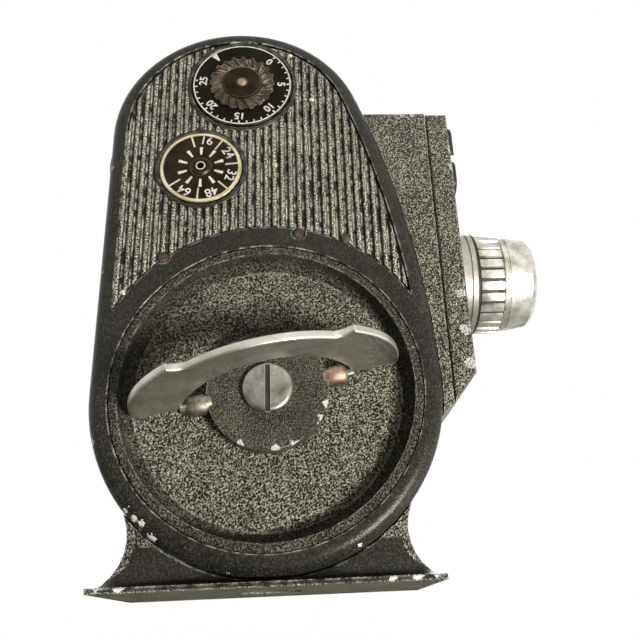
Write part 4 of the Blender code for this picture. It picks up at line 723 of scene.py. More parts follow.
class CINE_OT_finishes(bpy.types.Operator):
    """Makes the finishes and puts them on the carried-over CAD nodes"""

    bl_idname = "cine.finishes"
    bl_label = "Finishes"

    def execute(self, context):
        colours = context.scene.cine_colours
        body = context.scene.cine_body
        self.paints(colours, ORIGIN.y + body.face + body.rib_sink)
        self.metals(colours)
        make_mark_paint(colours)
        make_glass()
        make_lining()
        for row in frame["record"]["subparts"]:
            node = frame["nodes"][row["node"]]
            node.data.materials.clear()
            node.data.materials.append(bpy.data.materials[SLOT_FINISH[row["material_slot"]]])
        return {"FINISHED"}

    def paints(self, colours, rib_tops):
        """The crackle paints of the body, the cover, the dish, the ribs and the hub, and two enamels, the
        crackle ones lighter or darker partly as painted light.
        """
        # The light settings below are partly painted light: a painted highlight on the ribs and painted
        # shade on the smooth parts and the dish wall.
        make_crackle(colours, "crackle_paint", light=1.45, bumps=1.6 * MM, specular=0.28)
        make_crackle(colours, "smooth_paint", light=0.13, bumps=0.05 * MM, specular=0.22)
        make_crackle(colours, "rim_paint", light=0.45, bumps=0.8 * MM, specular=0.15)
        make_crackle(colours, "rib_paint", light=2.3, bumps=0.55 * MM, specular=0.28, rib_tops=rib_tops)
        make_crackle(colours, "hub_paint", light=0.55, bumps=0.6 * MM, specular=0.2, per_metre=3900.0)
        brown = (0.040, 0.027, 0.018)
        rubbed_brown = (0.12, 0.088, 0.064)
        make_enamel("brown_lacquer", brown, rubbed_brown, specular=0.15, per_metre=700.0, worn=0.50)
        rubbed_black = (0.014, 0.010, 0.006)
        make_enamel("black_enamel", colours.enamel, rubbed_black, specular=0.06, per_metre=140.0, worn=0.42)

    def metals(self, colours):
        """The plated, turned and plain metals."""
        lathe_lines = (9.0, 1.0, 1.0)
        file_lines = (1.0, 1.0, 4.0)
        make_metal(
            "worn_nickel", colours.nickel, dark=(0.46, 0.435, 0.375), stretch=(1.0, 1.0, 12.0),
            rough=(0.34, 0.50), tarnish_per_metre=150.0, edge_rub_and_highlight=(0.92, 0.89, 0.80),
        )
        make_metal(
            "satin_aluminium", colours.aluminium, dark=(0.40, 0.37, 0.29), stretch=lathe_lines,
            rough=(0.30, 0.46), tarnish_per_metre=330.0,
        )
        make_metal(
            "screw_steel", (0.40, 0.385, 0.33), dark=(0.20, 0.185, 0.15), stretch=(1.0, 5.0, 1.0),
            rough=(0.24, 0.40), tarnish_per_metre=320.0, edge_rub_and_highlight=(0.62, 0.58, 0.48),
        )
        make_metal(
            "dull_aluminium", (0.52, 0.50, 0.43), dark=(0.34, 0.32, 0.26), stretch=lathe_lines,
            rough=(0.36, 0.50),
        )
        make_metal(
            "plain_steel", colours.steel, dark=(0.26, 0.25, 0.235), stretch=(1.0, 8.0, 1.0),
            rough=(0.25, 0.42),
        )
        make_metal(
            "bright_brass", colours.brass, dark=(0.46, 0.37, 0.19), stretch=(1.0, 1.0, 6.0),
            rough=(0.22, 0.40),
        )
        make_metal(
            "dark_brass", (0.034, 0.025, 0.014), dark=(0.014, 0.010, 0.006), stretch=(7.0, 1.0, 1.0),
            rough=(0.34, 0.50), tarnish_per_metre=220.0, edge_rub_and_highlight=(0.26, 0.20, 0.11),
        )
        make_metal(
            "coppered_steel", colours.copper, dark=(0.22, 0.16, 0.115), stretch=file_lines,
            rough=(0.44, 0.62), tarnish_per_metre=900.0,
        )
        make_metal(
            "tan_brass", (0.33, 0.29, 0.22), dark=(0.13, 0.11, 0.08), stretch=file_lines,
            rough=(0.44, 0.62), tarnish_per_metre=900.0,
        )


# Covers

# Places of the cover's pins, from the drum's axis, in millimetres.
PIN_PLACES = ((-30.5, 21.6), (5.9, 84.9), (10.9, 71.4), (1.9, 53.0))

# Shares of a screw head's radius: points out from its middle, and their drop.
SCREW_DOME = ((0.4, 0.04), (0.7, 0.14), (0.9, 0.28), (1.0, 0.46))


def foot_room(body, start, end):
    """The room that a cover leaves for the foot plate."""
    reach = body.drum_radius + OVERSHOOT
    gap = 0.3 * MM
    return stack("foot_room_tool", rectangle(-reach, -OVERSHOOT, reach, body.foot_edge + gap), (start, end))


def dial_places():
    """Centre and radius of the two dials, from their CAD nodes."""
    places = []
    for node, growth in DIAL_GROWTH.items():
        (x, z), radius = round_node(node)
        places.append((x, z, growth * radius))
    return places


def rib_bar(body):
    """One rib of unit length: a flat root and a rounded top."""
    half = body.rib_width / 2
    floor = body.face + body.panel_depth
    root = floor + 0.3 * MM
    shoulder = floor - 0.2 * MM
    rise = shoulder - (body.face + body.rib_sink)
    points = [(half, root), (half, shoulder)]
    for degrees in (20, 40, 65, 90, 115, 140, 160):
        turn = math.radians(degrees)
        points.append((half * math.cos(turn), shoulder - rise * math.sin(turn)))
    points += [(-half, shoulder), (-half, root)]
    return stack("rib", points, (0.0, 1.0), "Z")


class CINE_OT_cover(bpy.types.Operator):
    """Models the ribbed winding-side cover with its sunk panel, collars, index lines and pins"""

    bl_idname = "cine.cover"
    bl_label = "Ribbed cover"

    def execute(self, context):
        body = context.scene.cine_body
        dials = context.scene.cine_dials
        side = SideView(body)
        before = body.face - OVERSHOOT
        after = body.cover_back + OVERSHOOT
        cover = stack("ribbed_cover", side.outline(), (body.face, body.cover_back))
        round_edges(cover, at_level("Y", body.face), body.face_rounding, FACE_ROUNDING_STEPS)
        cut(cover, foot_room(body, before, after))
        cut(cover, rod(DISH_RADIUS + DISH_GAP, before, after, side.drum, steps=160))
        floor = body.face + body.panel_depth
        cut(cover, stack("panel_tool", side.panel(), (before, floor)))
        dial_room = body.face + 1.6 * MM
        shaft_room = 1.9 * MM
        for x, z, radius in dial_places():
            cut(cover, rod(radius + SEAT_GAP, before, dial_room, (x, z), steps=96))
            cut(cover, rod(shaft_room, before, after, (x, z)))
        screw_room = body.cover_back - 0.8 * MM
        for number in SCREW_NUMBERS:
            centre, radius = round_node(f"cover_screw_{number}")
            cut(cover, rod(radius + SEAT_GAP, before, screw_room, centre))
        cover = joined([cover] + self.collars(body, dials), "ribbed_cover")
        place_piece(cover, "camera_body", "smooth_paint", ["side_cover"])
        self.ribs(body, side)
        self.index_lines(body, dials)
        self.pins(body)
        return {"FINISHED"}

    def ribs(self, body, side):
        """The ribs, copied from one bar, ended by the panel's edge and by the dials' collars."""
        bar = rib_bar(body)
        floor = body.face + body.panel_depth
        first_from_margin = 0.34 * MM
        shortest = 2 * MM
        end_slope = 0.3
        last = side.panel()[0][0]
        ribs = []
        x = -(body.drum_radius - body.panel_margin) + first_from_margin
        while x < last:
            low, high = side.rib_ends(x)
            if high - low > shortest:
                ribs.append(copied(bar, "rib"))

                def end_on_slant(point, x=x):
                    low, high = side.rib_ends(x + point.x)
                    lift = max(0.0, floor - point.y) * end_slope
                    end = low + lift if point.z < 0.5 else high - lift
                    return Vector((x + point.x, point.y, end))

                reshape(ribs[-1], end_on_slant)
            x += body.rib_pitch
        discard(bar)
        row = joined(ribs, "ribs")
        panel = stack("panel_floor", side.panel(), (floor - 0.05 * MM, floor + 0.2 * MM))
        for piece in (row, panel):
            for centre_x, centre_z, radius in dial_places():
                ends = (body.face - OVERSHOOT, floor + OVERSHOOT)
                cut(piece, rod(radius + RIB_GAP, *ends, (centre_x, centre_z), steps=96))
        place_piece(joined([panel, row], "ribbed_panel"), "camera_body", "rib_paint")

    def collars(self, body, dials):
        """The plain raised collars round the two dials."""
        made = []
        floor = body.face + body.panel_depth + 0.2 * MM
        top = body.face + 0.12 * MM
        outer_round = 0.35 * MM
        inner_round = 0.2 * MM
        for x, z, radius in dial_places():
            inner = radius + SEAT_GAP
            outer = inner + dials.collar
            profile = [(inner, floor), (outer, floor), (outer, top + outer_round)]
            profile += [(outer - 0.12 * MM, top + 0.1 * MM), (outer - outer_round, top)]
            profile += [(inner + inner_round, top), (inner, top + inner_round)]
            made.append(turned("collar", profile, (x, z), steps=96))
        return made

    def index_lines(self, body, dials):
        """The engraved line above each dial."""
        lines = []
        half = 0.16 * MM
        from_dial = 0.3 * MM
        past_collar = 0.5 * MM
        levels = (body.face + 0.06 * MM, body.face + 0.6 * MM)
        for x, z, radius in dial_places():
            low = z + radius + from_dial
            high = low + dials.collar + past_collar
            lines.append(stack("index_line", rectangle(x - half, low, x + half, high), levels))
        place_piece(joined(lines, "index_lines"), "camera_body", "black_lining_and_painted_shade")

    def pins(self, body):
        """The small brass pins that show between the ribs."""
        made = []
        radius = 0.65 * MM
        top = body.face + 0.1 * MM
        root = body.face + body.panel_depth + 0.3 * MM
        profile = [(0.0, top), (0.35 * MM, top + 0.04 * MM), (0.6 * MM, top + 0.2 * MM)]
        profile += [(radius, top + 0.4 * MM), (radius, root), (0.0, root)]
        for x, rise in PIN_PLACES:
            made.append(turned("pin", profile, (x * MM, DRUM_HEIGHT + rise * MM), steps=24))
        place_piece(joined(made, "cover_pins"), "camera_body", "bright_brass")


class CINE_OT_cover_screws(bpy.types.Operator):
    """Models the three low, domed heads beside the dish"""

    bl_idname = "cine.cover_screws"
    bl_label = "Cover screws"

    def execute(self, context):
        for number in SCREW_NUMBERS:
            node = f"cover_screw_{number}"
            low, high = own_box(node)
            centre, radius = round_node(node)
            profile = [(0.0, low.y)]
            profile += [(radius * out, low.y + radius * drop) for out, drop in SCREW_DOME]
            profile += [(radius, high.y), (0.0, high.y)]
            screw = turned(f"cover_screw_head_{number}", profile, centre, steps=40)
            place_piece(screw, "camera_body", "brown_lacquer", [node])
        return {"FINISHED"}


class CINE_OT_door(bpy.types.Operator):
    """Models the film door on the far side, and its turning latch"""

    bl_idname = "cine.door"
    bl_label = "Film door"

    def execute(self, context):
        body = context.scene.cine_body
        side = SideView(body)
        before = body.door_back - OVERSHOOT
        after = body.door_face + OVERSHOOT
        wall = 4.4 * MM
        shaft_room = 2.2 * MM
        door = stack("film_door_shell", side.outline(), (body.door_back, body.door_face))
        round_edges(door, at_level("Y", body.door_face), body.face_rounding, FACE_ROUNDING_STEPS)
        cut(door, foot_room(body, before, after))
        cut(door, stack("cavity_tool", side.outline(wall), (before, body.door_face - body.skin)))
        cut(door, rod(shaft_room, before, after, round_node("door_latch")[0]))
        place_piece(door, "door", "smooth_paint", ["film_door"])
        self.gate_cover(body, side)
        self.latch()
        return {"FINISHED"}

    def gate_cover(self, body, side):
        """The door's tongue over the part of the gate pocket that lies in front of the door's edge."""
        low, high = own_box("film_gate")
        block_far = own_box("front_plate")[1].y
        tongue_length = 8.0 * MM
        gap = 0.1 * MM
        under_door = 1.0 * MM
        points = rectangle(high.x - tongue_length, low.z, high.x, high.z)
        tongue = stack("gate_tongue", points, (body.door_back + gap, block_far))
        levels = (body.door_back - OVERSHOOT, body.door_face)
        cut(tongue, stack("door_tool", side.outline(under_door), levels))
        place_piece(tongue, "door", "crackle_paint")

    def latch(self):
        """A knurled disc with a finger grip across it, on its shaft."""
        low, high = own_box("door_latch")
        centre, radius = round_node("door_latch")
        teeth = 40
        tooth_depths = (0.0, 0.0, 0.35 * MM, 0.35 * MM)
        corners = teeth * len(tooth_depths)
        points = []
        for i in range(corners):
            reach = radius - tooth_depths[i % len(tooth_depths)]
            turn = 2 * math.pi * i / corners
            points.append((centre[0] + reach * math.cos(turn), centre[1] + reach * math.sin(turn)))
        disc_back = 21.8 * MM
        disc_front = 23.0 * MM
        overlap = 0.4 * MM
        disc = stack("door_latch_knob", points, (disc_back, disc_front))
        round_edges(disc, at_level("Y", disc_front), 0.2 * MM, 2)
        grip_half_width = 1.3 * MM
        grip_half_length = radius - 0.8 * MM
        grip_corner = 1.2 * MM
        grip_rounding = 0.7 * MM
        grip_outline = rounded_rectangle(grip_half_width, grip_half_length, grip_corner, 6, centre)
        grip = stack("grip", grip_outline, (disc_front - overlap, high.y))
        round_edges(grip, at_level("Y", high.y), grip_rounding, 4)
        shaft_radius = 1.8 * MM
        shaft = rod(shaft_radius, low.y, disc_back + overlap, centre)
        latch = joined([disc, grip, shaft], "door_latch_knob")
        place_piece(latch, "latch", "worn_nickel", ["door_latch"])


class CINE_OT_foot(bpy.types.Operator):
    """Models the flared skin of the foot over the casting's plate"""

    bl_idname = "cine.foot"
    bl_label = "Flared foot"

    def execute(self, context):
        body = context.scene.cine_body
        side = SideView(body)
        half_length = 33.0 * MM
        near = -body.face
        far = body.door_face
        edge_top = body.foot_edge
        edge_round = 0.35 * MM
        edge_pull = 0.8
        foot_height = 8.2 * MM
        rise = foot_height - edge_top
        flare_power = 1.6
        flare_steps = (0.08, 0.16, 0.25, 0.34, 0.44, 0.55, 0.66, 0.78, 0.9, 1.0)
        levels = [0.05 * MM, 0.15 * MM, edge_round, 0.6 * MM, edge_top - 0.15 * MM, edge_top]
        levels += [edge_top + rise * share**flare_power for share in flare_steps]
        flare_radius = 10.0 * MM
        overlap = 0.1 * MM
        tip_inset = 0.4 * MM
        tip = Vector((half_length - tip_inset, edge_top / 2))
        flare = circles_meet(side.drum, body.drum_radius + flare_radius, tip, flare_radius, 1)
        sweep = 4.2 * MM
        flank = 17.0 * MM
        ledge = 0.35 * MM
        skin = 0.06 * MM
        corner_share = 0.08
        foot = stack("foot_skin", rounded_rectangle(1.0, 1.0, corner_share, 8), levels, "Z")

        def flared(point):
            z = point.z
            pull = max(0.0, edge_round - z) * edge_pull
            length_x = half_length
            near_y = near
            far_y = far
            if z > edge_top - overlap:
                lift = min(1.0, (z - edge_top + overlap) / sweep)
                bend = 1.0 - math.sqrt(1.0 - (1.0 - lift) ** 2)
                length_x = flare.x - math.sqrt(max(0.0, flare_radius**2 - (z - flare.y) ** 2))
                near_y = flank + (near - flank - ledge) * bend
                far_y = flank + (far - flank - ledge) * bend
            depth = far_y if point.y > 0 else near_y
            return Vector((point.x * (length_x + skin - pull), point.y * (depth + skin - pull), z))

        reshape(foot, flared)
        gap = 0.3 * MM
        cover_joint = -15.2 * MM
        door_joint = 16.0 * MM
        cut(foot, stack("cover_room", side.outline(-gap), (body.face - OVERSHOOT, cover_joint)))
        cut(foot, stack("door_room", side.outline(-gap), (door_joint, body.door_face + OVERSHOOT)))
        bush_room = 6.4 * MM
        bush_top = 9.0 * MM
        cut(foot, rod(bush_room, -OVERSHOOT, bush_top, round_node("tripod_bush", "Z")[0], "Z"))
        place_piece(foot, "camera_body", "smooth_paint")
        return {"FINISHED"}


class CINE_OT_bush(bpy.types.Operator):
    """Models the threaded tripod bush in the foot"""

    bl_idname = "cine.bush"
    bl_label = "Tripod bush"

    def execute(self, context):
        low, high = own_box("tripod_bush")
        centre, radius = round_node("tripod_bush", "Z")
        bore = 3.2 * MM
        edge = 0.2 * MM
        chamfer = 0.5 * MM
        thread_depth = 0.5 * MM
        pitch = 1.27 * MM
        profile = [(bore + chamfer, low.z), (radius - edge, low.z), (radius, low.z + edge), (radius, high.z)]
        profile.append((bore, high.z))
        z = high.z - 0.3 * MM
        while z - pitch > low.z + chamfer:
            profile += [(bore, z), (bore + thread_depth, z - pitch / 2)]
            z -= pitch
        profile.append((bore, low.z + chamfer))
        bush = turned("threaded_bush", profile, centre, "Z", 64)
        place_piece(bush, "camera_body", "plain_steel", ["tripod_bush"])
        return {"FINISHED"}


# Winding key

class CINE_OT_dish(bpy.types.Operator):
    """Models the round dish that the winding key lies in"""

    bl_idname = "cine.dish"
    bl_label = "Key dish"

    def execute(self, context):
        key = context.scene.cine_key
        low, high = own_box("key_dish")
        drum = (0.0, DRUM_HEIGHT)
        face = low.y
        inner = DISH_RADIUS - key.dish_rim
        floor = key.dish_floor
        fillet = key.dish_fillet
        edge = inner - fillet
        bore = 4.3 * MM
        lip = 0.10 * MM
        seam = 0.35 * MM
        disc = [(bore, floor), (edge, floor), (edge, high.y), (bore, high.y)]
        disc = turned("dish_floor", disc, drum, steps=144)
        place_piece(disc, "camera_body", "crackle_paint", ["key_dish"])
        profile = arc((edge, floor - fillet), fillet, math.pi / 2, 0.0, 10)
        profile += arc((inner + lip, face + lip), lip, math.pi, 1.5 * math.pi, 6)
        profile += arc((DISH_RADIUS - seam, face + seam), seam, 1.5 * math.pi, 2 * math.pi, 4)
        profile += [(DISH_RADIUS, high.y), (edge, high.y)]
        wall = turned("dish_wall", profile, drum, steps=144)
        place_piece(wall, "camera_body", "rim_paint")
        return {"FINISHED"}


def key_matrix(key):
    """The winding key's place: on the drum's axis, wound a little."""
    return HOME @ Matrix.Translation((0.0, 0.0, DRUM_HEIGHT)) @ Matrix.Rotation(-key.turn, 4, "Y")


def hinge_matrix(key):
    """The handle's place: on the pivot, leaning a little."""
    pivot = Matrix.Translation((0.0, key.hinge_depth, 0.0))
    return key_matrix(key) @ pivot @ Matrix.Rotation(-key.lean, 4, "X")


class CINE_OT_hub(bpy.types.Operator):
    """Models the winding hub, its lugs and its slotted screw"""

    bl_idname = "cine.hub"
    bl_label = "Winding hub"

    def execute(self, context):
        key = context.scene.cine_key
        back = -15.3 * MM
        front = -18.9 * MM
        radius = 12.5 * MM
        bore = 2.6 * MM
        rounding = 0.12 * MM
        groove = front + 0.12 * MM
        profile = [(bore, front), (5.4 * MM, front), (5.6 * MM, groove)]
        profile += [(6.0 * MM, groove), (6.2 * MM, front)]
        profile += arc((radius - rounding, front + rounding), rounding, 1.5 * math.pi, 2 * math.pi, 6)
        profile += [(radius, back), (bore, back)]
        hub = turned("hub_disc", profile, steps=96)
        place_piece(hub, "winding_key", "hub_paint", ["winding_hub"], key_matrix(key))
        self.lugs(key)
        self.screw(key)
        return {"FINISHED"}

    def lugs(self, key):
        """The two lugs that carry the handle's pins: one tan, one coppered."""
        ear = 2.15 * MM
        # Places along the pivot in millimetres, and the share of the ear's radius there.
        swell = ((11.5, 0.8), (12.6, 0.9), (13.2, 0.98), (14.0, 1.0), (15.6, 1.0), (16.2, 0.9), (16.6, 0.7))
        for name, sign, finish in (("left_lug", -1, "tan_brass"), ("right_lug", 1, "coppered_steel")):
            levels = [sign * place * MM for place, size in swell]
            lug = stack(name, ring_points(1.0, 32), levels, "X")
            sizes = {level: ear * size for level, (place, size) in zip(levels, swell)}

            def swollen(point, sizes=sizes):
                size = sizes[min(sizes, key=lambda place: abs(place - point.x))]
                return Vector((point.x, key.hinge_depth + point.y * size, point.z * size))

            reshape(lug, swollen)
            place_piece(lug, "winding_key", finish, (), key_matrix(key))

    def screw(self, key):
        """The slotted screw in the middle of the hub, with painted shade in its slot."""
        seat = -19.0 * MM
        top = -20.5 * MM
        radius = 5.1 * MM
        profile = [(0.0, top), (radius * 0.55, top + 0.04 * MM), (radius * 0.86, top + 0.16 * MM)]
        profile += [(radius * 0.96, top + 0.34 * MM), (radius, top + 0.6 * MM), (radius, seat), (0.0, seat)]
        screw = turned("slotted_screw", profile, steps=72)
        half = 0.5 * MM
        reach = radius + OVERSHOOT
        floor = top + 0.8 * MM
        upright = Matrix.Rotation(key.turn, 4, "Y")
        slot = stack("slot_tool", rectangle(-half, -reach, half, reach), (top - OVERSHOOT, floor))
        slot.data.transform(upright)
        cut(screw, slot)
        place_piece(screw, "winding_key", "screw_steel", ["hub_screw"], key_matrix(key))
        # A black sheet in the slot: painted shade where the slot's floor would show lit metal.
        inset = radius - 0.3 * MM
        levels = (floor - 0.35 * MM, floor + 0.2 * MM)
        slot_shade = stack("painted_slot_shade", rectangle(-half, -inset, half, inset), levels)
        slot_shade.data.transform(upright)
        place_piece(slot_shade, "winding_key", "black_lining_and_painted_shade", (), key_matrix(key))


def handle_outline(key):
    """The half-moon handle in its own plane: X along the pivot, Y up from it."""
    foot_drop = 0.6 * MM
    inner_foot = 17.6 * MM
    horn = 17.2 * MM
    dip_half = 13.8 * MM
    dip_height = 20.35 * MM
    crest_height = 24.8 * MM
    arch_half = 17.4 * MM
    arch_start = 0.9
    arch_rise = 15.9
    arch_power = 1.4
    arch_steps = 44
    radius = key.handle_radius
    side = arc((0.0, 0.0), radius, math.asin(-foot_drop / 2 / radius), math.acos(horn / radius), 20)
    side += [(16.8 * MM, 21.3 * MM), (16.0 * MM, 20.75 * MM), (15.0 * MM, 20.45 * MM)]
    rise = crest_height - dip_height
    crest_radius = (dip_half**2 + rise**2) / (2 * rise)
    half_turn = math.asin(dip_half / crest_radius)
    crest_centre = (0.0, crest_height - crest_radius)
    crest = arc(crest_centre, crest_radius, math.pi / 2 - half_turn, math.pi / 2 + half_turn, 32)
    left = [(-x, y) for x, y in reversed(side)]
    inner = []
    for i in range(arch_steps + 1):
        turn = math.pi * (1 - i / arch_steps)
        height = (arch_start + arch_rise * max(0.0, math.sin(turn)) ** arch_power) * MM
        inner.append((arch_half * math.cos(turn), height))
    outer_foot = radius - foot_drop
    right_foot = [(inner_foot, -foot_drop), (outer_foot, -foot_drop)]
    left_foot = [(-outer_foot, -foot_drop), (-inner_foot, -foot_drop)]
    return right_foot + side + crest + left + left_foot + inner


class CINE_OT_handle(bpy.types.Operator):
    """Models the folding half-moon handle of the winding key"""

    bl_idname = "cine.handle"
    bl_label = "Key handle"

    def execute(self, context):
        key = context.scene.cine_key
        half = key.handle_thickness / 2
        levels = (key.handle_offset - half, key.handle_offset + half)
        points = [(x, -y) for x, y in handle_outline(key)]
        handle = stack("half_moon_handle", points, levels, "Z")
        arch = 18.2 * MM
        arch_rounding = 0.12 * MM
        for level in levels:
            here = at_level("Z", level)
            round_edges(handle, lambda p: here(p) and math.hypot(p.x, p.y) > arch, key.handle_rounding, 5)
            round_edges(handle, lambda p: here(p) and math.hypot(p.x, p.y) < arch, arch_rounding, 2)
        place = hinge_matrix(key)
        place_piece(handle, "handle", "worn_nickel", ["key_handle"], place, crease=50.0)
        pin_radius = 0.9 * MM
        pin_start = 15.0 * MM
        pin_end = 17.9 * MM
        for name, sign in (("handle_pin_left", -1), ("handle_pin_right", 1)):
            ends = sorted((sign * pin_start, sign * pin_end))
            pin = rod(pin_radius, *ends, axis="X", steps=32)
            pin.name = name.replace("handle", "short")
            place_piece(pin, "winding_key", "plain_steel", [name], place)
        return {"FINISHED"}


# Dials

def flat_ring(inner, outer, face, proud, centre):
    """A thin painted ring on a dial."""
    root = face + 0.2 * MM
    profile = [(inner, root), (inner, face - proud), (outer, face - proud), (outer, root)]
    return turned("ring_mark", profile, centre, steps=96)


def bar_mark(inner, outer, width, face, proud, centre, turn, taper=1.0):
    """A painted radial bar on a dial, clockwise from the top."""
    half = width / 2
    root = -0.15 * MM
    points = [(-half * taper, inner), (half * taper, inner), (half, outer), (-half, outer)]
    bar = stack("bar_mark", points, (root, proud), "Z")
    bar.data.transform(turned_about(centre, turn, face))
    return bar


def on_dial(centre, reach, turn):
    """A place on a dial, clockwise from the top."""
    return (centre[0] + reach * math.sin(turn), centre[1] + reach * math.cos(turn))


class CINE_OT_footage_dial(bpy.types.Operator):
    """Models the footage dial with its figures, and its toothed knob"""

    bl_idname = "cine.footage_dial"
    bl_label = "Footage dial"

    def execute(self, context):
        dials = context.scene.cine_dials
        high = own_box("footage_dial")[1]
        centre, radius = round_node("footage_dial")
        face = DIAL_FACE
        edge = 0.25 * MM
        profile = [(0.0, face), (radius - edge, face), (radius, face + edge), (radius, DIAL_SEAT)]
        profile += [(DIAL_SHAFT, DIAL_SEAT), (DIAL_SHAFT, high.y), (0.0, high.y)]
        disc = turned("footage_disc", profile, centre, steps=112)
        place_piece(disc, "footage_counter", "black_enamel", ["footage_dial"])
        proud = dials.mark_proud
        marks = [flat_ring(0.95 * radius, 0.975 * radius, face, proud, centre)]
        # Turns in degrees from the top: the zero, one foot and the start mark.
        zero = 44.2
        per_foot = 9.28
        start_mark = -38.0
        longest = 25
        per_figure = 5
        figure_reach = 0.775 * radius
        tick_inner = 0.895 * radius
        tick_outer = 0.96 * radius
        long_width = 0.40 * MM
        short_width = 0.30 * MM
        for feet in range(0, longest + 1, per_figure):
            turn = math.radians(zero + per_foot * feet)
            place = on_dial(centre, figure_reach, turn)
            marks.append(figures(str(feet), dials.figure_height, proud, turned_about(place, turn, face)))
        for feet in range(longest + 1):
            turn = math.radians(zero + per_foot * feet)
            width = long_width if feet % per_figure == 0 else short_width
            marks.append(bar_mark(tick_inner, tick_outer, width, face, proud, centre, turn))
        turn = math.radians(start_mark)
        start_width = 1.5 * MM
        start = bar_mark(0.76 * radius, 0.94 * radius, start_width, face, proud, centre, turn, taper=0.25)
        marks.append(start)
        place_piece(joined(marks, "footage_marks"), "footage_counter", "mark_paint")
        self.knob()
        return {"FINISHED"}

    def knob(self):
        """The flat finger wheel: slanted blades round a cap, and a pin."""
        low, high = own_box("footage_knob")
        centre = round_node("footage_knob")[0]
        place = Matrix.Translation((centre[0], 0.0, centre[1]))
        outer = 7.8 * MM
        inner = 5.0 * MM
        top = low.y
        root = high.y
        teeth = 20
        pitch = 2 * math.pi / teeth
        swirl = 0.75 * pitch
        tip_width = 0.42 * pitch
        heel_width = 0.66 * pitch
        slant = 0.75
        rim = arc((0.0, 0.0), outer, swirl, swirl + tip_width, 5)
        heel = arc((0.0, 0.0), inner, heel_width, 0.0, 4)
        blade = stack("blade", rim + heel, (top, root))

        def slanted(point):
            reach = math.hypot(point.x, point.z)
            lean = swirl * (reach - inner) / (outer - inner)
            share = min(1.0, max(0.0, (math.atan2(point.z, point.x) - lean) / heel_width))
            drop = (root - top) * slant * share if point.y < (top + root) / 2 else 0.0
            return Vector((point.x, point.y + drop, point.z))

        reshape(blade, slanted)
        blade_rounding = 0.12 * MM
        round_edges(blade, lambda point: point.y < root - 0.05 * MM, blade_rounding, 2)
        blades = []
        for i in range(teeth):
            blades.append(copied(blade, "blade"))
            blades[-1].data.transform(place @ Matrix.Rotation(i * pitch, 4, "Y"))
        discard(blade)
        bore = 1.0 * MM
        base_top = root - 0.12 * MM
        base_profile = [(bore, base_top), (outer - 0.5 * MM, base_top)]
        base_profile += [(outer - 0.4 * MM, root), (bore, root)]
        blades.append(turned("wheel_base", base_profile, centre, steps=80))
        wheel = joined(blades, "finger_wheel")
        place_piece(wheel, "footage_counter", "brown_lacquer", ["footage_knob"], crease=25.0)
        cap_bore = 1.2 * MM
        cap_radius = 4.65 * MM
        cap_root = root - 0.1 * MM
        cap_profile = [(cap_bore, top + 0.02 * MM), (4.1 * MM, top - 0.05 * MM)]
        cap_profile += [(4.55 * MM, top + 0.05 * MM), (cap_radius, top + 0.2 * MM)]
        cap_profile += [(cap_radius, cap_root), (cap_bore, cap_root)]
        cap = turned("wheel_cap", cap_profile, centre, steps=64)
        place_piece(cap, "footage_counter", "dark_brass")
        pin_radius = 1.05 * MM
        pin_profile = [(0.0, top - 0.2 * MM), (0.7 * MM, top - 0.16 * MM), (pin_radius, top)]
        pin_profile += [(pin_radius, root), (0.0, root)]
        pin = turned("wheel_pin", pin_profile, centre, steps=32)
        place_piece(pin, "footage_counter", "coppered_steel")


class CINE_OT_speed_dial(bpy.types.Operator):
    """Models the speed dial with its figures"""

    bl_idname = "cine.speed_dial"
    bl_label = "Speed dial"

    def execute(self, context):
        dials = context.scene.cine_dials
        low, high = own_box("speed_dial")
        x, z, radius = dial_places()[1]
        centre = (x, z)
        face = DIAL_FACE
        rim = 0.92 * radius
        bore = 0.7 * MM
        boss = 2.3 * MM
        boss_top = low.y
        profile = [(bore, boss_top + 0.5 * MM), (0.75 * MM, boss_top), (boss - 0.35 * MM, boss_top)]
        profile += [(boss, boss_top + 0.3 * MM), (boss, face), (rim, face), (rim, DIAL_SEAT)]
        profile += [(DIAL_SHAFT, DIAL_SEAT), (DIAL_SHAFT, high.y), (bore, high.y)]
        disc = turned("speed_disc", profile, centre, steps=112)
        place_piece(disc, "speed_control", "dark_brass", ["speed_dial"])
        edge = 0.2 * MM
        rim_inner = rim - 0.05 * MM
        rim_face = face - 0.02 * MM
        rim_profile = [(rim_inner, rim_face), (radius - edge, rim_face), (radius, face + edge)]
        rim_profile += [(radius, DIAL_SEAT), (rim_inner, DIAL_SEAT)]
        rim_ring = turned("speed_rim", rim_profile, centre, steps=112)
        place_piece(rim_ring, "speed_control", "bright_brass")
        proud = dials.mark_proud
        # Turns in degrees from the top: the first line, the first figure and the step between figures.
        first_line = -16.0
        first_figure = 9.0
        step = 50.0
        lines = 6
        line_width = 0.40 * MM
        bright = []
        for i in range(lines):
            turn = math.radians(first_line + step * i)
            bright.append(bar_mark(0.60 * radius, 0.94 * radius, line_width, face, proud, centre, turn))
        bright.append(flat_ring(0.85 * MM, 1.1 * MM, boss_top, proud, centre))
        place_piece(joined(bright, "speed_lines"), "speed_control", "bright_brass")
        marks = []
        for i, text in enumerate(("16", "24", "32", "48", "64")):
            turn = math.radians(first_figure + step * i)
            place = turned_about(on_dial(centre, 0.76 * radius, turn), turn, face)
            marks.append(figures(text, dials.speed_figure_height, proud, place, bold=0.01))
        rays = 10
        ray_width = 0.78 * MM
        for i in range(rays):
            turn = math.radians(360.0 / rays * i)
            ray = bar_mark(0.35 * radius, 0.57 * radius, ray_width, face, proud, centre, turn, taper=0.55)
            marks.append(ray)
        place_piece(joined(marks, "speed_marks"), "speed_control", "mark_paint")
        return {"FINISHED"}


# Front

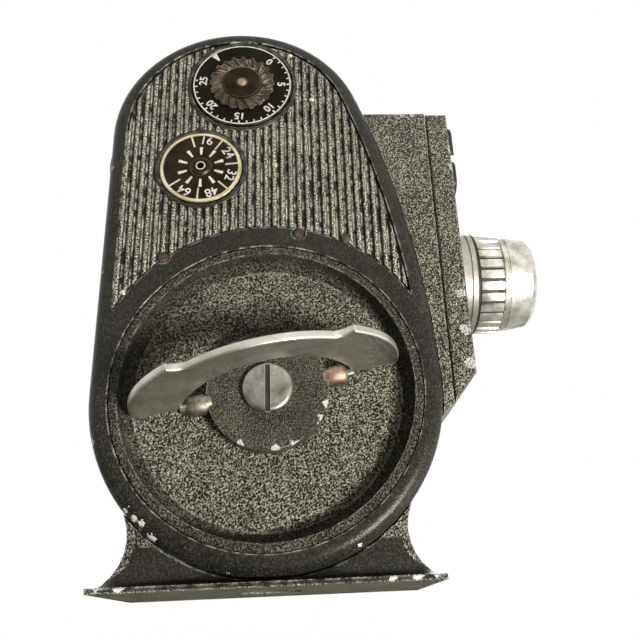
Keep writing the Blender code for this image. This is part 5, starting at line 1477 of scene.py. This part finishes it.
class CINE_OT_front_plate(bpy.types.Operator):
    """Models the front plate of the finder block with its bores"""

    bl_idname = "cine.front_plate"
    bl_label = "Front plate"

    def execute(self, context):
        low, high = own_box("front_plate")
        slope = 6.2 * MM
        rounding = 0.7 * MM
        points = [(low.x, low.z), (high.x, low.z + slope), (high.x, high.z), (low.x, high.z)]
        plate = stack("lens_front_plate", points, (low.y, high.y))
        for side in (low.y, high.y):
            round_edges(plate, at_level("Y", side), rounding, 4)
        at_front = at_level("X", high.x)
        at_top = at_level("Z", high.z)
        round_edges(plate, lambda point: at_front(point) and at_top(point), rounding, 4)
        before = low.x - OVERSHOOT
        after = high.x + OVERSHOOT
        bores = (
            ("lens_mount", 8.2 * MM, 72),
            ("finder_bezel", 5.8 * MM, 64),
            ("release_button", 3.9 * MM, 48),
        )
        for node, radius, steps in bores:
            place = middle(node)
            cut(plate, rod(radius, before, after, (place.y, place.z), "X", steps))
        place_piece(plate, "camera_body", "crackle_paint", ["front_plate"])
        return {"FINISHED"}


class CINE_OT_finder(bpy.types.Operator):
    """Models the finder's front bezel and its eyepiece"""

    bl_idname = "cine.finder"
    bl_label = "Finder"

    def execute(self, context):
        self.bezel()
        self.eyepiece()
        return {"FINISHED"}

    def bezel(self):
        """The square frame round the finder's front window."""
        low, high = own_box("finder_bezel")
        set_back = 0.6 * MM
        front = high.x - set_back
        centre, half_width = round_node("finder_bezel", "X")
        half_height = (high.z - low.z) / 2
        corner = 3.5 * MM
        rounding = 0.6 * MM
        frame_width = 1.3 * MM
        inner_corner = 2.4 * MM
        sink = 0.4 * MM
        window = 5.5 * MM
        outline = rounded_rectangle(half_width, half_height, corner, 10, centre)
        bezel = stack("finder_frame", outline, (low.x, front), "X")
        round_edges(bezel, at_level("X", front), rounding, 4)
        cut(bezel, rod(window, low.x - OVERSHOOT, front + OVERSHOOT, centre, "X", 64))
        sunk_width = half_width - frame_width
        sunk_height = half_height - frame_width
        sunk = rounded_rectangle(sunk_width, sunk_height, inner_corner, 8, centre)
        cut(bezel, stack("sink_tool", sunk, (front - sink, front + OVERSHOOT), "X"))
        place_piece(bezel, "camera_body", "smooth_paint", ["finder_bezel"])

    def eyepiece(self):
        """The round eyepiece at the back, with its glass."""
        low, high = own_box("finder_eyepiece")
        centre, radius = round_node("finder_eyepiece", "X")
        back = low.x
        bore = 3.6 * MM
        rounding = 0.7 * MM
        profile = [(bore, high.x), (radius - 0.1 * MM, high.x), (radius, back + 0.9 * MM)]
        profile += arc((radius - rounding, back + rounding), rounding, 0.0, -math.pi / 2, 5)
        profile += [(4.4 * MM, back + 0.1 * MM), (bore, back + 1.0 * MM)]
        ring = turned("eyepiece_ring", profile, centre, "X", 64)
        place_piece(ring, "camera_body", "black_enamel", ["finder_eyepiece"])
        lens = [(0.0, back + 1.2 * MM), (2.0 * MM, back + 1.3 * MM), (bore, back + 1.6 * MM)]
        lens += [(bore, high.x), (0.0, high.x)]
        glass = turned("eyepiece_glass", lens, centre, "X", 48)
        place_piece(glass, "camera_body", "optical_glass")


class CINE_OT_release(bpy.types.Operator):
    """Models the release button"""

    bl_idname = "cine.release"
    bl_label = "Release button"

    def execute(self, context):
        low, high = own_box("release_button")
        centre, radius = round_node("release_button", "X")
        front = high.x
        rounding = 0.6 * MM
        profile = [(0.0, front - 0.45 * MM), (1.6 * MM, front - 0.3 * MM), (2.6 * MM, front - 0.05 * MM)]
        profile += arc((radius - rounding, front - rounding), rounding, math.pi / 2, 0.0, 6)
        profile += [(radius, low.x), (0.0, low.x)]
        button = turned("dished_button", profile, centre, "X", 56)
        place_piece(button, "release", "worn_nickel", ["release_button"])
        return {"FINISHED"}


class CINE_OT_lens(bpy.types.Operator):
    """Models the lens mount, the fluted aperture ring and the front barrel"""

    bl_idname = "cine.lens"
    bl_label = "Lens"

    def execute(self, context):
        mount = middle("aperture_ring")
        axis = (mount.y, mount.z)
        self.mount(axis)
        self.ring(axis)
        self.barrel(axis)
        return {"FINISHED"}

    def mount(self, axis):
        """The flange with its stepped edge, its sleeve and its thread."""
        low, high = own_box("lens_mount")
        back = 44.1 * MM
        front = 50.3 * MM
        edge = 0.3 * MM
        radius = 13.0 * MM
        thread = 7.9 * MM
        bore = 6.0 * MM
        sleeve = 9.0 * MM
        groove = radius - 0.4 * MM
        step = front - 0.3 * MM
        profile = [(bore, low.x), (thread, low.x), (thread, back)]
        profile += [(radius - edge, back), (radius, back + edge)]
        profile += [(radius, front - 2.1 * MM), (groove, front - 2.0 * MM), (groove, front - 1.7 * MM)]
        profile += [(radius, front - 1.6 * MM), (radius, front - 0.5 * MM), (radius - 0.2 * MM, step)]
        profile += [(sleeve, step), (sleeve, high.x), (bore, high.x)]
        flange = turned("lens_flange", profile, axis, "X", 112)
        place_piece(flange, "camera_body", "dull_aluminium", ["lens_mount"])
        gap_inner = 9.1 * MM
        gap_outer = radius - 0.15 * MM
        gap_profile = rectangle(gap_inner, step, gap_outer, front + 0.15 * MM)
        gap_ring = turned("gap_ring", gap_profile, axis, "X", 96)
        place_piece(gap_ring, "camera_body", "black_lining_and_painted_shade")

    def ring(self, axis):
        """The aperture ring: wide lands between narrow flutes, with painted shade in the flutes."""
        low, high = own_box("aperture_ring")
        radius = 12.7 * MM
        bore = 9.3 * MM
        rounding = 0.3 * MM
        flutes = 28
        flute_depth = 0.7 * MM
        # Places within one pitch, and the share of the flute's depth there.
        shape = ((-0.34, 0.0), (-0.2, 0.0), (0.0, 0.0), (0.2, 0.0), (0.34, 0.0))
        shape += ((0.40, 0.55), (0.46, 0.85), (0.54, 0.85), (0.60, 0.55))
        points = []
        for i in range(flutes):
            for part, depth in shape:
                turn = 2 * math.pi * (i + part) / flutes
                reach = radius - depth * flute_depth
                points.append((axis[0] + reach * math.cos(turn), axis[1] + reach * math.sin(turn)))
        ring = stack("fluted_ring", points, (low.x, high.x), "X")
        for end in (low.x, high.x):
            round_edges(ring, at_level("X", end), rounding, 2)
        cut(ring, rod(bore, low.x - OVERSHOOT, high.x + OVERSHOOT, axis, "X", 72))
        place_piece(ring, "aperture_control", "satin_aluminium", ["aperture_ring"])
        # A black ring under the flutes shows at their floors: painted shade in the flutes.
        floor_bore = 9.4 * MM
        floor_radius = radius - 0.42 * MM
        floor_inset = 0.15 * MM
        profile = rectangle(floor_bore, low.x + floor_inset, floor_radius, high.x - floor_inset)
        flute_shade = turned("flute_shade", profile, axis, "X", 112)
        place_piece(flute_shade, "aperture_control", "black_lining_and_painted_shade")

    def barrel(self, axis):
        """The tapered front barrel with its bevelled mouth."""
        low, high = own_box("lens_barrel")
        back = low.x
        front = high.x
        bevel = 1.4 * MM
        wide = 12.1 * MM
        narrow = 11.2 * MM
        step = 0.25 * MM
        seat = 9.3 * MM
        bore = 7.2 * MM
        profile = [(seat, back), (wide - step, back), (wide, back + step), (wide, back + 1.0 * MM)]
        profile += [(wide - step, back + 1.15 * MM), (wide - step, back + 1.45 * MM)]
        profile += [(wide, back + 1.6 * MM)]
        profile += [(narrow, front - bevel), (narrow - 0.15 * MM, front - bevel + 0.15 * MM)]
        profile += [(narrow - bevel + 0.1 * MM, front - 0.12 * MM), (narrow - bevel - 0.1 * MM, front)]
        profile += [(9.4 * MM, front), (9.2 * MM, front - 0.2 * MM), (bore, front - 2.6 * MM)]
        profile += [(bore, back + 2.2 * MM), (seat, back + 2.0 * MM)]
        barrel = turned("tapered_barrel", profile, axis, "X", 112)
        place_piece(barrel, "camera_body", "satin_aluminium", ["lens_barrel"])
        mouth = [(7.25 * MM, front - 2.65 * MM), (9.15 * MM, front - 0.3 * MM)]
        mouth += [(9.05 * MM, front - 0.25 * MM), (7.05 * MM, front - 2.55 * MM)]
        mouth_ring = turned("lens_mouth", mouth, axis, "X", 96)
        place_piece(mouth_ring, "camera_body", "black_lining_and_painted_shade")


# Studio

# Each light's name, place in metres, size in metres and power in watts.
STUDIO_LIGHTS = (
    ("front_light", (0.36, -0.52, -0.24), 0.14, 7.2),
    ("side_light", (0.56, 0.02, -0.20), 0.20, 2.0),
    ("top_light", (0.20, -0.50, 0.60), 0.40, 0.4),
    ("back_light", (0.1, 0.85, 0.7), 0.6, 7.0),
)


class CINE_OT_stage(bpy.types.Operator):
    """Sets up the floor, the lights and the camera"""

    bl_idname = "cine.stage"
    bl_label = "Studio"

    def execute(self, context):
        self.floor()
        self.world(context.scene)
        self.lights()
        self.camera(context.scene)
        context.scene.view_settings.view_transform = "Standard"
        return {"FINISHED"}

    def floor(self):
        """A pale floor that shows from above only and lets light from below through."""
        clear_selection()
        floor_size = 6.0
        bpy.ops.mesh.primitive_plane_add(size=floor_size)
        plane = bpy.context.object
        plane.name = "studio_floor"
        finish = Finish("pale_floor")
        grey = (0.80, 0.80, 0.80)
        pale_grey = (0.84, 0.84, 0.84)
        tone = finish.mix(finish.noise(3.0), opaque(grey), opaque(pale_grey))
        shader = add(finish.tree, "BsdfDiffuse", {"Color": tone})
        clear = add(finish.tree, "BsdfTransparent")
        below = add(finish.tree, "NewGeometry").outputs["Backfacing"]
        shade = add(finish.tree, "LightPath").outputs["Is Shadow Ray"]
        through = finish.sum("MAXIMUM", below, shade)
        pick = add(finish.tree, "MixShader", {0: through, 1: shader.outputs[0], 2: clear.outputs[0]})
        end = finish.tree.nodes.new("ShaderNodeOutputMaterial")
        finish.tree.links.new(pick.outputs[0], end.inputs[0])
        plane.data.materials.append(finish.material)

    def world(self, scene):
        """White to the camera and in reflections, softer as light."""
        world = bpy.data.worlds.new("studio_world")
        scene.world = world
        world.use_nodes = True
        tree = world.node_tree
        tree.nodes.clear()
        path = add(tree, "LightPath")
        seen = path.outputs["Is Camera Ray"]
        for name in ("Is Glossy Ray", "Is Transmission Ray"):
            seen = add(tree, "Math", {0: seen, 1: path.outputs[name]}, operation="MAXIMUM").outputs[0]
        as_light = 0.12
        as_seen = 1.0
        strength = add(tree, "MapRange", {"Value": seen, "To Min": as_light, "To Max": as_seen}).outputs[0]
        white = (1.0, 1.0, 1.0)
        glow = add(tree, "Background", {"Color": opaque(white), "Strength": strength})
        end = tree.nodes.new("ShaderNodeOutputWorld")
        tree.links.new(glow.outputs[0], end.inputs[0])

    def lights(self):
        """A front light from the low right, one at the right, a weak one from above and one behind."""
        aim = Vector((0.0, 0.0, 0.06))
        for name, place, size, watts in STUDIO_LIGHTS:
            light = bpy.data.lights.new(name, "AREA")
            light.size = size
            light.energy = watts
            lamp = bpy.data.objects.new(name, light)
            lamp.location = place
            lamp.rotation_euler = (aim - Vector(place)).to_track_quat("-Z", "Y").to_euler()
            bpy.context.scene.collection.objects.link(lamp)

    def camera(self, scene):
        """The camera at the photograph's place: low, near and looking up."""
        focal_pixels = 769.0
        frame_pixels = 640.0
        right_pixels = -20.0
        up_pixels = -40.0
        sensor = 36.0
        place = Vector((5.78, -170.40, -7.70)) * MM
        pitch = math.radians(24.46)
        yaw = math.radians(-3.74)
        roll = math.radians(2.71)
        # These turns take right, up and depth to the camera's own right, up and forward.
        tip = Matrix.Rotation(pitch, 3, "X")
        swing = Matrix.Rotation(yaw, 3, "Y")
        cant = Matrix.Rotation(roll, 3, "Z")
        turns = cant @ tip @ swing
        rows = [Vector((row[0], row[2], row[1])) for row in turns]
        lens = bpy.data.cameras.new("studio_camera")
        lens.sensor_width = sensor
        lens.lens = sensor * focal_pixels / frame_pixels
        lens.shift_x = right_pixels / frame_pixels
        lens.shift_y = up_pixels / frame_pixels
        lens.clip_start = 0.01
        eye = bpy.data.objects.new("studio_camera", lens)
        pose = Matrix((rows[0], rows[1], -rows[2])).transposed().to_4x4()
        pose.translation = ORIGIN + place
        eye.matrix_world = pose
        scene.collection.objects.link(eye)
        scene.camera = eye


class CINE_PT_dressing(bpy.types.Panel):
    """Lists the modelling steps"""

    bl_idname = "CINE_PT_dressing"
    bl_label = "Cine camera"
    bl_space_type = "VIEW_3D"
    bl_region_type = "UI"
    bl_category = "Cine camera"

    def draw(self, context):
        for step in STEPS:
            self.layout.operator(step.bl_idname)


SETTINGS = {
    "cine_body": BodySizes, "cine_key": KeySizes, "cine_dials": DialSizes, "cine_colours": FinishColours,
}
STEPS = (
    CINE_OT_finishes, CINE_OT_cover, CINE_OT_cover_screws, CINE_OT_door, CINE_OT_foot, CINE_OT_bush,
    CINE_OT_dish, CINE_OT_hub, CINE_OT_handle, CINE_OT_footage_dial, CINE_OT_speed_dial,
    CINE_OT_front_plate, CINE_OT_finder, CINE_OT_release, CINE_OT_lens, CINE_OT_stage,
)


def register():
    """Registers the settings, the steps and the panel."""
    for name, group in SETTINGS.items():
        bpy.utils.register_class(group)
        setattr(bpy.types.Scene, name, bpy.props.PointerProperty(type=group))
    for step in STEPS:
        bpy.utils.register_class(step)
    bpy.utils.register_class(CINE_PT_dressing)


def unregister():
    """Takes everything back out."""
    bpy.utils.unregister_class(CINE_PT_dressing)
    for step in reversed(STEPS):
        bpy.utils.unregister_class(step)
    for name, group in SETTINGS.items():
        delattr(bpy.types.Scene, name)
        bpy.utils.unregister_class(group)


def main():
    register()
    for step in STEPS:
        family, name = step.bl_idname.split(".")
        getattr(getattr(bpy.ops, family), name)()
    clear_selection()


if __name__ == "__main__":
    main()
